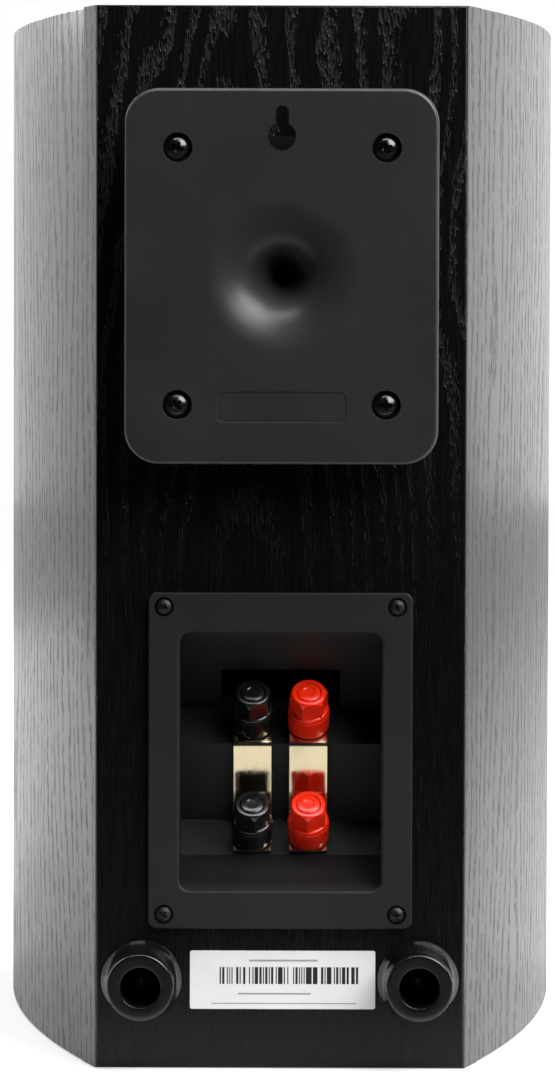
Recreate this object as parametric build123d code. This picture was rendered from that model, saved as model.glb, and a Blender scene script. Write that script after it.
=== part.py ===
"""A two-way bookshelf loudspeaker with curved sides and a rear port behind a wall-mount plate.

Millimetres. +Z is up, the drivers face -Y and the terminals face +Y. The origin is under the
middle of the overall box, on the surface that the cabinet stands on.
"""

import math
import os

from build123d import *

# ---- driving dimensions -------------------------------------------------------------------

HEIGHT = 380.0
WIDTH = 215.6  # across the widest place of the curved sides
CABINET_DEPTH = 316.0  # baffle face to rear panel face
REAR_WIDTH = 132.0
WIDEST_FROM_REAR = 280.0
GRILLE_DEPTH = 14.0
STANDOFF = 24.0  # rear panel face to the wall that the port plate and bumpers touch

SIDE_WALL = 15.0
PANEL = 18.0
BAFFLE = 22.0
REAR_EDGE_ROUND = 1.0
BAFFLE_EDGE_ROUND = 5.0

TOTAL_DEPTH = GRILLE_DEPTH + CABINET_DEPTH + STANDOFF
FRONT_Y = GRILLE_DEPTH - TOTAL_DEPTH / 2
REAR_Y = FRONT_Y + CABINET_DEPTH
INNER_FRONT_Y = FRONT_Y + BAFFLE
INNER_REAR_Y = REAR_Y - PANEL
WIDEST_Y = REAR_Y - WIDEST_FROM_REAR

PORT_Z = 283.5
PLATE_WIDTH, PLATE_HEIGHT, PLATE_CORNER, PLATE_THICK = 110.7, 132.4, 12.3, 3.2
PLATE_SCREW_X, PLATE_SCREW_Z = 73.7 / 2, 90.6 / 2
PLATE_RECESS_R, PLATE_RECESS_DEPTH = 5.25, 2.6
PLATE_EDGE_ROUND = 1.3
HOLLOW_R, HOLLOW_DEPTH, HOLLOW_SKIN = 28.5, 31.0, 2.5
PILLAR_R = 7.0
KEYHOLE_Z, KEYHOLE_R, KEYHOLE_SLOT, KEYHOLE_TOP_Z = 332.8, 4.95, 4.8, 343.6
NAME_PANEL, NAME_PANEL_CORNER, NAME_PANEL_DEPTH, NAME_PANEL_Z = (46.0, 11.0), 2.5, 0.3, 237.5
PORT_FLANGE_R, PORT_FLANGE_THICK = 50.0, 3.0
PORT_THROAT_R, PORT_LENGTH, PORT_WALL = 27.0, 122.0, 2.5

CUP_Z = 110.6
CUP_FLANGE_WIDTH, CUP_FLANGE_HEIGHT, CUP_CORNER, CUP_STANDS = 94.4, 120.5, 3.0, 3.0
CUP_GASKET = 0.8
CUP_OPEN_WIDTH, CUP_OPEN_CORNER = 72.0, 3.7
CUP_TOP_Z, CUP_BOTTOM_Z = 156.5, 64.2
CUP_WALL = 2.0
CUP_SCREW_X, CUP_SCREW_Z = 83.3 / 2, 110.2 / 2
CUP_RECESS_R, CUP_RECESS_DEPTH = 3.5, 1.4
# The cup's floor is a staircase: two facets tilted at 45 degrees carry the posts.
VALLEY_DEPTH, RIDGE_DEPTH = 30.0, 18.3
UPPER_VALLEY_Z, UPPER_RIDGE_Z = 126.9, 115.2
LOWER_VALLEY_Z, LOWER_RIDGE_Z = 86.6, 74.9
BAY_WIDTH, BAY_DEPTH, BAY_TOP_Z = 43.0, 45.0, 142.2

POST_X = 10.1
STUD_R, STUD_INNER_R, STUD_FLANGE_R = 3.5, 2.5, 6.5
STUD_OUT, STUD_IN = 15.4, 11.0
BANANA_R, BANANA_DEPTH = 2.05, 9.0
WIRE_HOLE_R, WIRE_HOLE_T = 1.15, 4.8
POST_SHIFT = 0.7  # the posts sit a little off the facets' middle, clear of the straps
POST_DEPTH = (VALLEY_DEPTH + RIDGE_DEPTH) / 2 - POST_SHIFT
UPPER_POST_Z = (UPPER_VALLEY_Z + UPPER_RIDGE_Z) / 2 - POST_SHIFT
LOWER_POST_Z = (LOWER_VALLEY_Z + LOWER_RIDGE_Z) / 2 - POST_SHIFT
# Stack on each facet, measured along the post from the facet.
STUD_FLANGE_T, STRAP_T, WASHER_T, CAP_T = 1.0, 1.8, 2.4, 20.0
STRAP_WIDTH = 14.0
CAP_SKIRT_R, CAP_SKIRT_LENGTH, CAP_HEX_R, CAP_TOP_R = 7.5, 9.5, 7.1, 6.1
PLUG_HEAD_R, PLUG_HEAD_THICK, PLUG_PIN_R = 4.4, 1.3, 1.95
RUNNING = 0.06  # radial clearance of a part that turns or slides on another

BUMPER_X, BUMPER_Z = 49.5, 31.7
BUMPER_BASE_R, BUMPER_FACE_R, BUMPER_HOLE_R, BUMPER_FLOOR = 14.5, 12.1, 7.25, 5.0
LABEL_X, LABEL_Z, LABEL_WIDTH, LABEL_HEIGHT, LABEL_THICK = -1.0, 31.8, 66.4, 21.0, 0.3

# Pan-head screws: head radius, head height, shank radius, length.
PLATE_SCREW = (4.7, 2.9, 2.0, 38.0)
CUP_SCREW = (3.2, 1.7, 1.6, 16.0)
SPACER_SCREW = (4.3, 2.4, 1.75, 17.0)
DRIVER_SCREW = (3.6, 2.0, 1.9, 18.0)

WOOFER_Z, WOOFER_R, WOOFER_REBATE = 115.0, 90.0, 5.0
WOOFER_HOLE_R, WOOFER_SCREW_R, WOOFER_SCREWS = 74.0, 84.5, 8
TWEETER_Z, TWEETER_R, TWEETER_REBATE = 283.0, 52.0, 4.0
TWEETER_HOLE_R, TWEETER_SCREW_R, TWEETER_SCREWS = 38.0, 45.5, 4
TWEETER_BACK_S = -21.0
CONE_RIM_R, CONE_NECK_R, CONE_RIM_S, CONE_NECK_S = 56.5, 16.4, -1.0, -25.0
SURROUND_OUT_R, SURROUND_IN_R, SURROUND_THICK = 71.0, 57.0, 0.8

GRILLE_HALF_WIDTH, GRILLE_MARGIN_Z, GRILLE_CORNER = 103.6, 3.0, 9.0
GRILLE_BAR, GRILLE_GAP, CLOTH_THICK = 15.0, 1.0, 0.8
GRILLE_CROSSBAR_Z, GRILLE_CROSSBAR, GRILLE_WINDOW_CORNER = 218.0, 12.0, 5.0
GRILLE_EDGE_ROUND, CLOTH_INSET = 2.5, 2.2
PEG_X, PEG_LOW_Z, PEG_R, PEG_LENGTH = 92.0, 22.0, 4.0, 9.0

BOARD_Z, BOARD_THICK = 26.0, 1.6
BOARD_WIDTH, BOARD_DEPTH, BOARD_Y = 120.0, 96.0, 42.0
BOARD_TOP = BOARD_Z + BOARD_THICK
BOARD_ROW_Y, BOARD_INNER_X, BOARD_OUTER_X = 44.0, 20.0, 32.0  # where the leads are soldered
LEAD_R = 1.3
WOOFER_TAG_X, WOOFER_TAG_S = 61.0, -39.0
TWEETER_TAG_X, TWEETER_TAG_S, TWEETER_TAG_DROP = 16.0, -27.0, 18.0

FRONT, REAR = (0, -1, 0), (0, 1, 0)
POST_DIRECTION = (0, math.sqrt(0.5), math.sqrt(0.5))
BASE = (Align.CENTER, Align.CENTER, Align.MIN)
parts = {}


# ---- helpers ------------------------------------------------------------------------------


def at(x, y, z, direction):
    """Location whose +Z runs along direction and whose +X stays along the row's X."""
    return Plane(origin=(x, y, z), x_dir=(1, 0, 0), z_dir=direction).location


def ring(inner, outer, low, high):
    """Washer or disc about Z between two heights."""
    shape = Cylinder(outer, high - low, align=BASE)
    if inner:
        shape -= Cylinder(inner, high - low, align=BASE)
    return Pos(0, 0, low) * shape


def lathe(*edges):
    """Solid of revolution about Z from a closed outline of (radius, height) edges."""
    return revolve(Plane.XZ * make_face(Curve() + list(edges)), Axis.Z)


def lathe_points(*points):
    """Solid of revolution about Z from a closed polygon of (radius, height) points."""
    return lathe(Polyline(*points, close=True))


def dome_arc(rim_r, rim_h, top_h):
    """Arc of a sphere on the axis, from a dome's rim up to its top."""
    rise = top_h - rim_h
    sphere_r = (rim_r**2 + rise**2) / (2 * rise)
    bend_r = 0.7 * rim_r
    bend_h = top_h - sphere_r + math.sqrt(sphere_r**2 - bend_r**2)
    return ThreePointArc((rim_r, rim_h), (bend_r, bend_h), (0, top_h))


def dome_shell(rim_r, rim_h, top_h, skin):
    """Thin dome with a flat rim."""
    return lathe(
        dome_arc(rim_r, rim_h, top_h),
        Line((0, top_h), (0, top_h - skin)),
        dome_arc(rim_r - skin, rim_h, top_h - skin),
        Line((rim_r - skin, rim_h), (rim_r, rim_h)),
    )


def around(count, radius, start=0.0):
    """Locations on a circle about Z, each turned to face outwards."""
    turn = 360.0 / count
    return [Rot(0, 0, start + i * turn) * Pos(radius, 0, 0) for i in range(count)]


def corners(half_x, half_z):
    """The four corners of a rectangle in X and Z."""
    return [(sx * half_x, sz * half_z) for sx in (-1, 1) for sz in (-1, 1)]


def pan_screw(head_r, head_height, shank_r, length):
    """Pan-head screw with a cross recess: the seat is at height 0 and the shank runs down."""
    side = 0.4 * head_height
    head = lathe(
        Line((0, 0), (head_r, 0)),
        Line((head_r, 0), (head_r, side)),
        dome_arc(head_r, side, head_height),
        Line((0, head_height), (0, 0)),
    )
    point = 1.5 * shank_r
    shank = lathe_points((0, 0), (shank_r, 0), (shank_r, point - length), (0, -length))
    slot = Box(1.15 * head_r, 0.24 * head_r, head_height, align=BASE)
    cross = Pos(0, 0, 0.42 * head_height) * (slot + Rot(0, 0, 90) * slot)
    return head + shank - cross


def together(solids):
    """Separate solids of one node, kept as separate solids."""
    return Compound(children=[s for shape in solids for s in shape.solids()])


# ---- cabinet ------------------------------------------------------------------------------


def side_radius():
    sagitta = (WIDTH - REAR_WIDTH) / 2
    return (WIDEST_FROM_REAR**2 + sagitta**2) / (2 * sagitta)


def half_width(y, inset=0.0):
    radius = side_radius()
    centre_x = WIDTH / 2 - radius
    return centre_x + math.sqrt((radius - inset) ** 2 - (y - WIDEST_Y) ** 2)


def plan(front_y, rear_y, inset=0.0):
    """The cabinet's plan between two depths, with its curved sides moved in by inset."""
    middle_y = (front_y + rear_y) / 2
    front, middle, rear = (half_width(y, inset) for y in (front_y, middle_y, rear_y))
    return make_face(
        Curve()
        + [
            Line((-front, front_y), (front, front_y)),
            ThreePointArc((front, front_y), (middle, middle_y), (rear, rear_y)),
            Line((rear, rear_y), (-rear, rear_y)),
            ThreePointArc((-rear, rear_y), (-middle, middle_y), (-front, front_y)),
        ]
    )


def make_cabinet():
    shell = plan(INNER_FRONT_Y, INNER_REAR_Y) - plan(INNER_FRONT_Y, INNER_REAR_Y, SIDE_WALL)
    for name, face in zip(
        ("left_side_panel", "right_side_panel"), shell.faces().sort_by(Axis.X), strict=True
    ):
        parts[name] = extrude(face, HEIGHT)
    lid = extrude(plan(INNER_FRONT_Y, INNER_REAR_Y, SIDE_WALL), PANEL)
    parts["bottom_panel"] = lid
    parts["top_panel"] = Pos(0, 0, HEIGHT - PANEL) * lid

    rear = extrude(plan(INNER_REAR_Y, REAR_Y), HEIGHT)
    rear = fillet(rear.faces().sort_by(Axis.Y)[-1].edges(), REAR_EDGE_ROUND)
    parts["rear_panel"] = rear

    baffle = extrude(plan(FRONT_Y, INNER_FRONT_Y), HEIGHT)
    parts["front_baffle"] = fillet(
        baffle.faces().sort_by(Axis.Y)[0].edges(), BAFFLE_EDGE_ROUND
    )


def make_brace():
    """Window brace across the middle of the cabinet, open for air and leads."""
    thick, rim, low_z = 14.0, 20.0, 212.0
    front_y, rear_y = INNER_FRONT_Y, INNER_REAR_Y
    plate = plan(front_y, rear_y, SIDE_WALL)
    window = plan(front_y + 2 * rim, rear_y - rim, SIDE_WALL + rim)
    window = fillet(window.vertices(), 12)
    parts["window_brace"] = Pos(0, 0, low_z) * extrude(plate - window, thick)


def make_lining():
    """Fibre pads on the inner side walls and under the top, clear of the brace."""
    thick, gap = 12.0, 0.5
    front_y, rear_y = INNER_FRONT_Y + 8, INNER_REAR_Y - 8
    band = plan(front_y, rear_y, SIDE_WALL + gap) - plan(
        front_y, rear_y, SIDE_WALL + gap + thick
    )
    low = Pos(0, 0, 82) * extrude(band, 124)
    high = Pos(0, 0, 232) * extrude(band, 112)
    lid = Pos(0, 0, HEIGHT - PANEL - thick - gap) * extrude(
        plan(front_y, rear_y, SIDE_WALL + gap), thick
    )
    parts["acoustic_lining"] = together([low, high, lid])


# ---- rear port and wall-mount plate -------------------------------------------------------


def make_port_plate():
    """Plate on four pillars, with a trumpet-shaped cone that points into the port."""
    face = REAR_Y + STANDOFF
    place = at(0, face, PORT_Z, REAR)
    plate = Pos(0, 0, -PLATE_THICK) * extrude(
        RectangleRounded(PLATE_WIDTH, PLATE_HEIGHT, PLATE_CORNER), PLATE_THICK
    )
    plate = fillet(plate.faces().sort_by(Axis.Z)[-1].edges(), PLATE_EDGE_ROUND)
    hollow = lathe(
        Spline(
            (HOLLOW_R, 0), (22.0, -0.65), (16.5, -2.5), (11.5, -6.0), (7.0, -11.9), (3.0, -22.7),
            (1.0, -HOLLOW_DEPTH), tangents=[(-1, 0), (-0.2, -1)],
        ),
        Line((1.0, -HOLLOW_DEPTH), (0, -HOLLOW_DEPTH)),
        Line((0, -HOLLOW_DEPTH), (0, 4)),
        Line((0, 4), (HOLLOW_R, 4)),
        Line((HOLLOW_R, 4), (HOLLOW_R, 0)),
    )
    bulk_r, bulk_tip = HOLLOW_R - 2.5, HOLLOW_DEPTH + HOLLOW_SKIN
    bulk = lathe(
        Spline(
            (bulk_r, -PLATE_THICK + 0.5), (17.6, -4.8), (13.3, -7.8), (9.2, -13.1), (5.4, -23.4),
            (3.2, -bulk_tip), tangents=[(-1, -0.05), (-0.2, -1)],
        ),
        Line((3.2, -bulk_tip), (0, -bulk_tip)),
        Line((0, -bulk_tip), (0, -1)),
        Line((0, -1), (bulk_r, -1)),
        Line((bulk_r, -1), (bulk_r, -PLATE_THICK + 0.5)),
    )
    solid = plate + bulk
    screws = []
    for x, z in corners(PLATE_SCREW_X, PLATE_SCREW_Z):
        solid += Pos(x, z, -STANDOFF) * Cylinder(PILLAR_R, STANDOFF - 1, align=BASE)
        solid -= Pos(x, z, -PLATE_RECESS_DEPTH) * Cylinder(PLATE_RECESS_R, 10, align=BASE)
        screw = Pos(x, z, -PLATE_RECESS_DEPTH) * pan_screw(*PLATE_SCREW)
        solid -= screw
        screws.append(place * screw)
    solid = place * (solid - hollow)
    slot_top = KEYHOLE_TOP_Z - KEYHOLE_SLOT / 2
    keyhole = at(0, face, KEYHOLE_Z, REAR) * Pos(0, 0, -8) * Cylinder(KEYHOLE_R, 16, align=BASE)
    keyhole += at(0, face, slot_top, REAR) * Pos(0, 0, -8) * Cylinder(
        KEYHOLE_SLOT / 2, 16, align=BASE
    )
    keyhole += Pos(0, face, (KEYHOLE_Z + slot_top) / 2) * Box(
        KEYHOLE_SLOT, 16, slot_top - KEYHOLE_Z
    )
    solid -= keyhole
    # Shallow blank name panel under the cone.
    blank = extrude(RectangleRounded(*NAME_PANEL, NAME_PANEL_CORNER), -NAME_PANEL_DEPTH)
    solid -= at(0, face, NAME_PANEL_Z, REAR) * blank
    parts["port_plate"] = solid
    parts["port_plate_screws"] = together(screws)


def make_port_tube():
    """Flared port tube let into the rear panel."""
    mouth_r, flare_depth, lip = 42.0, 34.0, 3.5
    place = at(0, REAR_Y, PORT_Z, REAR)
    inner_end, throat, wall = -PORT_LENGTH, PORT_THROAT_R, PORT_WALL
    tube = lathe(
        Line((mouth_r, 0), (PORT_FLANGE_R, 0)),
        Line((PORT_FLANGE_R, 0), (PORT_FLANGE_R, -PORT_FLANGE_THICK)),
        Line((PORT_FLANGE_R, -PORT_FLANGE_THICK), (mouth_r + 3, -PORT_FLANGE_THICK)),
        Spline(
            (mouth_r + 3, -PORT_FLANGE_THICK), (throat + wall, -flare_depth - 2),
            tangents=[(-1, -0.2), (0, -1)],
        ),
        Line((throat + wall, -flare_depth - 2), (throat + wall, inner_end + 8)),
        Line((throat + wall, inner_end + 8), (throat + wall + lip, inner_end)),
        Line((throat + wall + lip, inner_end), (throat + lip, inner_end)),
        Line((throat + lip, inner_end), (throat, inner_end + 8)),
        Line((throat, inner_end + 8), (throat, -flare_depth)),
        Spline(
            (throat, -flare_depth), (mouth_r, 0),
            tangents=[(0, 1), (1, 0.12)],
        ),
    )
    parts["port_tube"] = place * tube
    recess = Pos(0, 0, -PORT_FLANGE_THICK) * Cylinder(PORT_FLANGE_R, 10, align=BASE)
    hole = Pos(0, 0, -40) * Cylinder(mouth_r + 3.5, 50, align=BASE)
    parts["rear_panel"] -= place * (recess + hole)


# ---- terminal cup and binding posts -------------------------------------------------------


def cup_outline(points):
    """Face in the YZ plane from (depth behind the rear panel, height) points."""
    return Plane.YZ * make_face(
        Polyline(*[(REAR_Y - depth, z) for depth, z in points], close=True)
    )


def cup_block(face, width, wall, corner):
    """A staircase face swept across the cup, cut to its rounded opening grown by wall."""
    height = CUP_TOP_Z - CUP_BOTTOM_Z + 2 * wall
    opening = at(0, REAR_Y - 80, (CUP_TOP_Z + CUP_BOTTOM_Z) / 2, REAR) * extrude(
        RectangleRounded(CUP_OPEN_WIDTH + 2 * wall, height, corner), 90
    )
    return extrude(face, width / 2, both=True) & opening


def make_terminal_cup():
    stairs = [
        (-6, CUP_TOP_Z), (0, CUP_TOP_Z), (VALLEY_DEPTH, UPPER_VALLEY_Z),
        (RIDGE_DEPTH, UPPER_RIDGE_Z), (VALLEY_DEPTH, LOWER_VALLEY_Z),
        (RIDGE_DEPTH, LOWER_RIDGE_Z), (0, CUP_BOTTOM_Z), (-6, CUP_BOTTOM_Z),
    ]
    bay_floor = (BAY_DEPTH, UPPER_RIDGE_Z + BAY_DEPTH - RIDGE_DEPTH)
    bay = [(CUP_TOP_Z - BAY_TOP_Z, BAY_TOP_Z), bay_floor, (RIDGE_DEPTH, UPPER_RIDGE_Z)]
    stairs_face, bay_face = cup_outline(stairs), cup_outline(bay)
    cavity = cup_block(stairs_face, CUP_OPEN_WIDTH, 0, CUP_OPEN_CORNER)
    cavity += cup_block(bay_face, BAY_WIDTH, 0, CUP_OPEN_CORNER)
    grown = CUP_OPEN_CORNER + CUP_WALL
    walls = cup_block(
        offset(stairs_face, CUP_WALL, kind=Kind.INTERSECTION),
        CUP_OPEN_WIDTH + 2 * CUP_WALL, CUP_WALL, grown,
    )
    walls += cup_block(
        offset(bay_face, CUP_WALL, kind=Kind.INTERSECTION),
        BAY_WIDTH + 2 * CUP_WALL, CUP_WALL, grown,
    )
    walls &= Pos(0, REAR_Y + 1.5 - 50, CUP_Z) * Box(200, 100, 200)

    face = REAR_Y + CUP_STANDS
    place = at(0, face, CUP_Z, REAR)
    thick = CUP_STANDS - CUP_GASKET
    flange = Pos(0, 0, -thick) * extrude(
        RectangleRounded(CUP_FLANGE_WIDTH, CUP_FLANGE_HEIGHT, CUP_CORNER), thick
    )
    flange = fillet(flange.faces().sort_by(Axis.Z)[-1].edges(), 0.7)
    cup = place * flange + walls - cavity
    lip = cup.faces().sort_by(Axis.Y)[-1].inner_wires()[0].edges()
    cup = fillet(lip, 1.2)

    cutout = cup_block(
        cup_outline([(-9, CUP_TOP_Z + 4), (40, CUP_TOP_Z + 4), (40, CUP_BOTTOM_Z - 4),
                     (-9, CUP_BOTTOM_Z - 4)]),
        CUP_OPEN_WIDTH + 6, 3, CUP_OPEN_CORNER + 3,
    )
    parts["rear_panel"] -= cutout
    gasket = at(0, REAR_Y, CUP_Z, REAR) * extrude(
        RectangleRounded(CUP_FLANGE_WIDTH - 2, CUP_FLANGE_HEIGHT - 2, CUP_CORNER), CUP_GASKET
    )
    gasket -= cutout
    screws = []
    for x, z in corners(CUP_SCREW_X, CUP_SCREW_Z):
        seat = place * Pos(x, z, -CUP_RECESS_DEPTH)
        screw = seat * pan_screw(*CUP_SCREW)
        cup -= seat * Cylinder(CUP_RECESS_R, 10, align=BASE)
        cup -= screw
        gasket -= screw
        parts["rear_panel"] -= screw
        screws.append(screw)
    parts["terminal_cup"] = cup
    parts["terminal_cup_gasket"] = gasket
    parts["terminal_cup_screws"] = together(screws)


def post_places():
    """Name and location of each binding post, on the middle of its tilted facet."""
    return {
        f"{level}_{pole}": at(x, REAR_Y - POST_DEPTH, z, POST_DIRECTION)
        for pole, x in (("positive", -POST_X), ("negative", POST_X))
        for level, z in (("upper", UPPER_POST_Z), ("lower", LOWER_POST_Z))
    }


def make_stud():
    """Gilt stud: flange and socket outside, mounting thread inside, wire hole across."""
    stud = ring(0, STUD_FLANGE_R, 0, STUD_FLANGE_T) + ring(0, STUD_R, 0, STUD_OUT)
    stud = chamfer(stud.faces().sort_by(Axis.Z)[-1].edges(), 0.5)
    stud += ring(0, STUD_INNER_R, -STUD_IN, 0)
    stud -= ring(0, BANANA_R, STUD_OUT - BANANA_DEPTH, STUD_OUT)
    return stud - Pos(0, 0, WIRE_HOLE_T) * Rot(0, 90, 0) * Cylinder(WIRE_HOLE_R, 20)


def make_cap():
    """Screw cap: hexagonal grip over a round skirt, bored for the stud and the plug."""
    length, skirt = CAP_T - WASHER_T, CAP_SKIRT_LENGTH
    grip = Pos(0, 0, skirt) * extrude(RegularPolygon(CAP_HEX_R, 6), length - skirt)
    cone = lathe_points(
        (0, 0), (CAP_HEX_R + 1, 0), (CAP_HEX_R + 1, length - 3.4), (CAP_TOP_R, length),
        (0, length),
    )
    round_skirt = lathe_points(
        (0, 0), (CAP_SKIRT_R - 0.4, 0), (CAP_SKIRT_R, 0.6), (CAP_SKIRT_R, skirt - 1.6),
        (CAP_SKIRT_R - 0.25, skirt - 1.3), (CAP_SKIRT_R - 0.25, skirt - 0.6),
        (CAP_HEX_R - 0.7, skirt), (0, skirt),
    )
    cap = round_skirt + (grip & cone)
    cap = fillet(cap.faces().sort_by(Axis.Z)[-1].edges(), 0.5)
    cap -= ring(0, STUD_R + RUNNING, -1, STUD_OUT - WASHER_T + 0.3)
    cap -= ring(0, PLUG_PIN_R + 0.3, 0, length)
    return cap - ring(0, PLUG_HEAD_R, length - PLUG_HEAD_THICK + 0.2, length + 5)


def make_plug():
    """Push-in plug that closes the cap's banana socket."""
    length = CAP_T - WASHER_T
    head = ring(0, PLUG_HEAD_R, length - PLUG_HEAD_THICK + 0.2, length + 0.2)
    head = fillet(head.faces().sort_by(Axis.Z)[-1].edges(), 0.5)
    return head + ring(0, PLUG_PIN_R, length - 7.5, length - PLUG_HEAD_THICK + 0.2)


def make_binding_posts():
    studs, hardware = [], []
    nut = extrude(RegularPolygon(4.6, 6), 3.2) - Cylinder(STUD_INNER_R, 20)
    tag = ring(STUD_INNER_R, 4.6, 0, 0.8) + (
        Pos(7.5, 0, 0) * Box(9, 4, 0.8, align=BASE) - Cylinder(STUD_INNER_R, 5)
    )
    washer = ring(STUD_R + RUNNING, 6.6, STRAP_T, WASHER_T)
    for name, place in post_places().items():
        side = 0 if "negative" in name else 180
        parts["terminal_cup"] -= place * Cylinder(STUD_INNER_R, 12)
        studs.append(place * make_stud())
        hardware.append(place * Pos(0, 0, -CUP_WALL - 3.2) * nut)
        hardware.append(place * Pos(0, 0, -CUP_WALL - 4.0) * Rot(0, 0, side) * tag)
        parts[f"{name}_clamp_washer"] = place * washer
        parts[f"{name}_cap"] = place * Pos(0, 0, WASHER_T) * make_cap()
        parts[f"{name}_socket_plug"] = place * Pos(0, 0, WASHER_T) * make_plug()
    parts["terminal_studs"] = together(studs)
    parts["stud_nuts_and_tags"] = together(hardware)


def make_jumper_straps():
    """Folded gilt straps that link the upper and lower posts of each pole."""
    thick = STRAP_T - STUD_FLANGE_T
    lift = (STUD_FLANGE_T + STRAP_T) / 2 * math.sqrt(0.5)
    reach = 6.6 * math.sqrt(0.5)
    depth, upper, lower = POST_DEPTH - lift, UPPER_POST_Z + lift, LOWER_POST_Z + lift
    line = [
        (depth + reach, upper + reach),
        (RIDGE_DEPTH - 2 * lift, UPPER_RIDGE_Z),
        (VALLEY_DEPTH - 2 * lift, LOWER_VALLEY_Z),
        (depth - reach, lower - reach),
    ]
    path = FilletPolyline(*[(REAR_Y - depth, z) for depth, z in line], radius=1.4)
    strip = extrude(Plane.YZ * trace(path, thick), STRAP_WIDTH / 2, both=True)
    for pole, x in (("positive", -POST_X), ("negative", POST_X)):
        strap = Pos(x, 0, 0) * strip
        for name, place in post_places().items():
            if pole in name:
                strap -= place * Cylinder(STUD_R + RUNNING, 12)
        parts[f"{pole}_jumper_strap"] = strap


# ---- bumpers and label --------------------------------------------------------------------


def make_bumpers():
    bumper = lathe(
        Line((0, 0), (BUMPER_BASE_R, 0)),
        Line((BUMPER_BASE_R, 0), (BUMPER_BASE_R, 1.5)),
        Spline(
            (BUMPER_BASE_R, 1.5), (13.0, 9.0), (BUMPER_FACE_R, STANDOFF - 1.6),
            tangents=[(-0.25, 1), (-0.05, 1)],
        ),
        ThreePointArc(
            (BUMPER_FACE_R, STANDOFF - 1.6), (BUMPER_FACE_R - 0.47, STANDOFF - 0.47),
            (BUMPER_FACE_R - 1.6, STANDOFF),
        ),
        Line((BUMPER_FACE_R - 1.6, STANDOFF), (BUMPER_HOLE_R + 0.4, STANDOFF)),
        Line((BUMPER_HOLE_R + 0.4, STANDOFF), (BUMPER_HOLE_R, STANDOFF - 0.5)),
        Line((BUMPER_HOLE_R, STANDOFF - 0.5), (BUMPER_HOLE_R - 0.5, BUMPER_FLOOR)),
        Line((BUMPER_HOLE_R - 0.5, BUMPER_FLOOR), (0, BUMPER_FLOOR)),
        Line((0, BUMPER_FLOOR), (0, 0)),
    )
    screw = Pos(0, 0, BUMPER_FLOOR) * pan_screw(*SPACER_SCREW)
    bumpers, screws = [], []
    for x in (-BUMPER_X, BUMPER_X):
        place = at(x, REAR_Y, BUMPER_Z, REAR)
        bumpers.append(place * (bumper - screw))
        screws.append(place * screw)
        parts["rear_panel"] -= place * screw
    parts["wall_bumpers"] = together(bumpers)
    return screws


def make_label():
    plate = extrude(RectangleRounded(LABEL_WIDTH, LABEL_HEIGHT, 0.8), LABEL_THICK)
    parts["rating_label"] = at(LABEL_X, REAR_Y, LABEL_Z, REAR) * plate


# ---- crossover and leads ------------------------------------------------------------------


def make_crossover():
    """Network board on spacers on the cabinet floor, with its coils, capacitors and resistors."""
    top = BOARD_TOP
    centre = Pos(0, BOARD_Y, 0)
    board = centre * Pos(0, 0, BOARD_Z) * extrude(
        RectangleRounded(BOARD_WIDTH, BOARD_DEPTH, 3), BOARD_THICK
    )
    screws = []
    for x, y in corners(BOARD_WIDTH / 2 - 6, BOARD_DEPTH / 2 - 6):
        spot = centre * Pos(x, y, 0)
        board += spot * ring(0, 3.8, PANEL, BOARD_Z + 0.1)
        screw = spot * Pos(0, 0, top) * pan_screw(*SPACER_SCREW)
        board -= screw
        parts["bottom_panel"] -= screw
        screws.append(screw)
    parts["crossover_board"] = board

    lying = Pos(-30, BOARD_Y + 14, top) * ring(9, 22, 0, 17)
    standing = Pos(36, BOARD_Y - 20, top + 16) * Rot(0, 90, 0) * ring(6, 16, -8, 8)
    parts["crossover_inductors"] = together([lying, standing])
    cans = []
    for x, y, radius, length in ((32, 14, 11, 44), (30, 33, 7, 34), (-34, -22, 8, 36)):
        can = fillet(Cylinder(radius, length).edges(), 1.5)
        cans.append(Pos(x, BOARD_Y + y, top + radius) * Rot(0, 90, 0) * can)
    parts["crossover_capacitors"] = together(cans)
    blocks = [
        Pos(4, BOARD_Y + y, top) * Box(28, 9, 9, align=BASE) for y in (-14, -30)
    ]
    parts["crossover_resistors"] = together(blocks)
    return screws


def lead(*points):
    """Insulated lead through points, with an arc at each corner as large as its runs allow."""
    radii = []
    for before, here, after in zip(points, points[1:], points[2:]):
        arriving, leaving = Vector(*here) - Vector(*before), Vector(*after) - Vector(*here)
        turn = math.radians(arriving.get_angle(leaving))
        radii.append(0.45 * min(arriving.length, leaving.length) / math.tan(turn / 2))
    path = FilletPolyline(*points, radius=radii)
    start = Plane(origin=path @ 0, z_dir=path % 0)
    return sweep(start * Circle(LEAD_R), path=path)


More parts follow.
